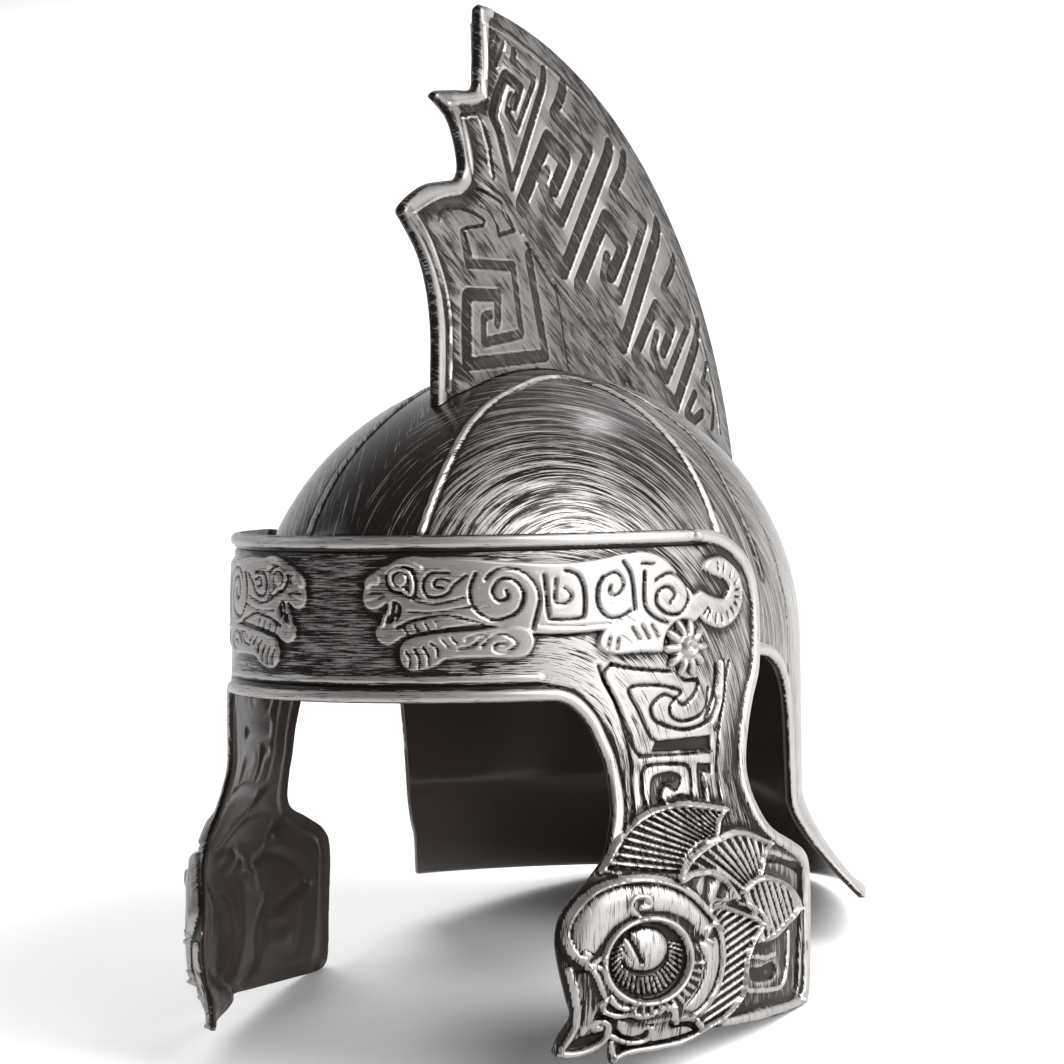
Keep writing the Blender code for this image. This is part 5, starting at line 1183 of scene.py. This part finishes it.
def rosette_mesh(name, side, material):
    """A rivet turned about its own axis.

    Folded petals, whose reach and height wave with the angle, stand round a ring and a dimpled centre. The
    shank and the button inside the skull follow.
    """
    sides = 120
    angle = tau * np.arange(sides) / sides
    wave = 0.5 + 0.5 * np.cos(ROSETTE_PETALS * angle)
    profile = np.array([
        (0.00, 0.62, 0), (0.10, 0.66, 0), (0.16, 0.82, 0), (0.24, 0.92, 0), (0.31, 0.80, 0), (0.36, 0.56, 0),
        (0.42, 0.50, 0.2), (0.55, 0.60, 0.6), (0.70, 0.52, 0.9), (0.85, 0.36, 1.0), (0.97, 0.20, 1.0),
        (1.00, 0.10, 1.0), (1.00, 0.02, 1.0)])
    tilt, base = rosette_seat()
    rings = []
    for reach, rise, fold in profile:
        radius = ROSETTE_RADIUS * reach * (1.0 - 0.24 * fold * (1.0 - wave ** 0.7))
        height = ROSETTE_RISE * rise * (1.0 - 0.40 * fold * (1.0 - wave))
        head = np.stack([height * np.ones(sides), radius * np.cos(angle), radius * np.sin(angle)], axis=1)
        rings.append(head @ tilt.T + (base, PIVOT_Y, PIVOT_Z))
    low = min(abs(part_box("rosette_left")[0].x), abs(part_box("rosette_left")[1].x))
    for radius, x in ((SHANK_RADIUS, base - 0.2 * MM), (SHANK_RADIUS, low + 1.6 * MM),
                      (BUTTON_RADIUS, low + 1.6 * MM), (BUTTON_RADIUS, low + 0.3 * MM),
                      (BUTTON_RADIUS - 0.9 * MM, low), (0.0, low)):
        rings.append(np.stack([np.full(sides, x), PIVOT_Y + radius * np.cos(angle),
                               PIVOT_Z + radius * np.sin(angle)], axis=1))
    points = np.stack(rings)
    points = np.concatenate([points, points[:, :1]], axis=1) * (side, 1.0, 1.0)
    count = points.shape[0] * points.shape[1]
    index = np.arange(count).reshape(points.shape[:2])
    faces = np.stack([index[:-1, :-1], index[:-1, 1:], index[1:, 1:], index[1:, :-1]], -1).reshape(-1, 4)
    lift = np.zeros(points.shape[:2])
    round_wave = np.append(wave, wave[:1])[None]
    lift[:len(profile)] = 0.5 * profile[:, 1:2] + 0.7 * profile[:, 2:3] * (round_wave - 0.45)
    cover = np.full(lift.shape, 0.36)
    cover[len(profile) + 1:] = INSIDE
    flat = points.reshape(-1, 3)
    surface = Surface(flat[:, 1:], lift.ravel(), cover.ravel())
    faces = faces if side < 0 else faces[:, ::-1]
    return finish_piece(name, flat, faces, surface, material, "visor", 50, halved=False)


def rosette_seat():
    """The rotation from X to the face guard's normal at the pivot, and the guard's x there."""
    centre = pivot_on_sheet()[None]
    step = 0.5 * MM
    around = [guard_surface(centre + np.array(move), np.zeros(1))[0] for move in
              ((0.0, 0.0), (step, 0.0), (-step, 0.0), (0.0, step), (0.0, -step))]
    normal = np.cross(around[1] - around[2], around[3] - around[4])
    normal *= np.sign(normal[0])
    turn = Vector((1.0, 0.0, 0.0)).rotation_difference(Vector(normal)).to_matrix()
    return np.array(turn), around[0][0] + SEAT_GAP


def build_halves(node, shell, material, body):
    """The wearer's left half as it is worked out, and the right one mirrored."""
    for word, side in SIDES:
        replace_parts(build_shell(f"{node}_{word}", shell, side, material, body), node)


# Add-on

class HelmetSizes(bpy.types.PropertyGroup):
    guard_step: FloatProperty(name="Face guard cell", description="Grid cell of the face guard's sheet",
                              default=0.00054, unit="LENGTH", precision=6)
    crest_step: FloatProperty(name="Crest cell", description="Grid cell of the crest's sheet",
                              default=0.00062, unit="LENGTH", precision=6)
    skull_columns: IntProperty(name="Skull columns", description="Columns over half of the skull",
                               default=345)
    skull_rows: IntProperty(name="Skull rows", description="Rows from the crown to the lower edge",
                            default=153)


class HelmetLook(bpy.types.PropertyGroup):
    silver: FloatVectorProperty(name="Silver paint", description="Colour of the brushed silver",
                                subtype="COLOR", default=(0.36, 0.346, 0.337))
    plastic: FloatVectorProperty(name="Black plastic", description="Colour of the bare plastic",
                                 subtype="COLOR", default=(0.009, 0.007, 0.006))
    inside: FloatVectorProperty(name="Inside", description="Colour of the unpainted inside",
                                subtype="COLOR", default=(0.060, 0.047, 0.041))
    floor: FloatVectorProperty(name="Floor", description="Colour of the floor",
                               subtype="COLOR", default=(0.93, 0.93, 0.93))


class HELMET_OT_face_guard(bpy.types.Operator):
    """Build both halves of the face guard"""
    bl_idname = "helmet.face_guard"
    bl_label = "Face guard"

    def execute(self, context):
        shell = guard_shell(context.scene.helmet_sizes.guard_step)
        material = silvered_plastic("brushed_silver_guard", GUARD_BRUSHWORK)
        build_halves("face_guard", shell, material, "visor")
        return {"FINISHED"}


class HELMET_OT_skull(bpy.types.Operator):
    """Build both halves of the skull"""
    bl_idname = "helmet.skull"
    bl_label = "Skull"

    def execute(self, context):
        sizes = context.scene.helmet_sizes
        shell = skull_shell(sizes.skull_columns, sizes.skull_rows)
        material = silvered_plastic("brushed_silver_skull", SKULL_BRUSHWORK)
        build_halves("skull", shell, material, "helmet")
        return {"FINISHED"}


class HELMET_OT_crest(bpy.types.Operator):
    """Build both halves of the crest"""
    bl_idname = "helmet.crest"
    bl_label = "Crest"

    def execute(self, context):
        shell = crest_shell(context.scene.helmet_sizes.crest_step)
        material = silvered_plastic("brushed_silver_crest", CREST_BRUSHWORK)
        build_halves("crest", shell, material, "helmet")
        return {"FINISHED"}


class HELMET_OT_rosettes(bpy.types.Operator):
    """Build the two rosette rivets"""
    bl_idname = "helmet.rosettes"
    bl_label = "Rosettes"

    def execute(self, context):
        material = silvered_plastic("brushed_silver_rosette", ROSETTE_BRUSHWORK)
        for word, side in SIDES:
            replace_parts(rosette_mesh(f"rosette_head_{word}", side, material), f"rosette_{word}")
        return {"FINISHED"}


class HELMET_OT_stage(bpy.types.Operator):
    """Lay the floor and place the lights and the camera"""
    bl_idname = "helmet.stage"
    bl_label = "Stage"

    def execute(self, context):
        scene = context.scene
        bpy.ops.mesh.primitive_circle_add(vertices=64, radius=30.0, fill_type="NGON")
        floor = context.object
        floor.name = "floor"
        floor.data.materials.append(plain_material("pale_floor", tuple(scene.helmet_look.floor), 0.9))
        place_camera(scene)
        place_lights(scene)
        return {"FINISHED"}


def place_camera(scene):
    """The photo's viewpoint in the upright helmet's frame, carried through the stance."""
    camera = bpy.data.objects.new("camera", bpy.data.cameras.new("camera"))
    camera.data.lens = CAMERA_LENS
    camera.data.sensor_width = 36.0
    camera.data.clip_end = 100.0
    axes = (Matrix.Rotation(CAMERA_TURN, 4, "Z") @ Matrix.Rotation(pi / 2.0 - CAMERA_RISE, 4, "X")
            @ Matrix.Rotation(CAMERA_ROLL, 4, "Z"))
    camera.matrix_world = STANCE @ Matrix.Translation(CAMERA_PLACE) @ axes
    scene.collection.objects.link(camera)
    scene.camera = camera


Lamp = namedtuple("Lamp", "name turn rise reach size power mirrored", defaults=(True,))
LAMPS = [
    Lamp("key_softbox", 95, 30, 2.3, (1.6, 2.1), 120.0),
    Lamp("rear_lamp", 175, 38, 2.6, (0.2, 0.2), 8.0),
    Lamp("rear_softbox", 152, 13, 2.6, (0.4, 0.4), 4.0),
    Lamp("left_softbox", -75, 25, 2.6, (0.8, 1.6), 8.0),
    Lamp("top_softbox", 160, 72, 3.2, (2.4, 2.4), 10.0, False),
    Lamp("backdrop_softbox", -147, 40, 6.0, (4.0, 3.0), 230.0, False),
]


def place_lights(scene):
    """Soft lamps at a turn from the front and a rise over the floor. The world is brighter behind."""
    aim = Vector((0.0, 0.0, 0.18))
    for lamp in LAMPS:
        light = bpy.data.lights.new(lamp.name, "AREA")
        light.shape = "RECTANGLE"
        light.size, light.size_y = lamp.size
        light.energy = lamp.power
        obj = bpy.data.objects.new(lamp.name, light)
        turn, rise = radians(lamp.turn), radians(lamp.rise)
        way = Vector((sin(turn) * cos(rise), -cos(turn) * cos(rise), sin(rise)))
        obj.location = aim + way * lamp.reach
        obj.rotation_euler = way.to_track_quat("Z", "Y").to_euler()
        obj.visible_glossy = lamp.mirrored
        scene.collection.objects.link(obj)
    world = bpy.data.worlds.new("studio")
    world.use_nodes = True
    tree = world.node_tree
    terms = {0: add_node(tree, "ShaderNodeTexCoord", {}), 1: (-0.54, 0.84, 0.0)}
    facing = add_node(tree, "ShaderNodeVectorMath", {"operation": "DOT_PRODUCT"}, terms, output=1)
    strength = 0.25 + Value(tree, facing).between(0.3, 0.95) * 0.75
    fill_sockets(tree, tree.nodes["Background"], {"Color": (1.0, 1.0, 1.0, 1.0), "Strength": strength})
    scene.world = world
    scene.view_settings.view_transform = "Standard"


class HELMET_PT_panel(bpy.types.Panel):
    bl_label = "Gladiator helmet"
    bl_idname = "HELMET_PT_panel"
    bl_space_type = "VIEW_3D"
    bl_region_type = "UI"
    bl_category = "Helmet"

    def draw(self, context):
        for group in (context.scene.helmet_sizes, context.scene.helmet_look):
            for name in group.__annotations__:
                self.layout.prop(group, name)
        for operator in OPERATORS:
            self.layout.operator(operator.bl_idname)


OPERATORS = (HELMET_OT_face_guard, HELMET_OT_skull, HELMET_OT_crest, HELMET_OT_rosettes, HELMET_OT_stage)
CLASSES = (HelmetSizes, HelmetLook, *OPERATORS, HELMET_PT_panel)


def register():
    for item in CLASSES:
        bpy.utils.register_class(item)
    bpy.types.Scene.helmet_sizes = PointerProperty(type=HelmetSizes)
    bpy.types.Scene.helmet_look = PointerProperty(type=HelmetLook)


def unregister():
    del bpy.types.Scene.helmet_look
    del bpy.types.Scene.helmet_sizes
    for item in reversed(CLASSES):
        bpy.utils.unregister_class(item)


def main():
    register()
    bpy.ops.helmet.face_guard()
    bpy.ops.helmet.skull()
    bpy.ops.helmet.crest()
    bpy.ops.helmet.rosettes()
    bpy.ops.helmet.stage()


if __name__ == "__main__":
    main()
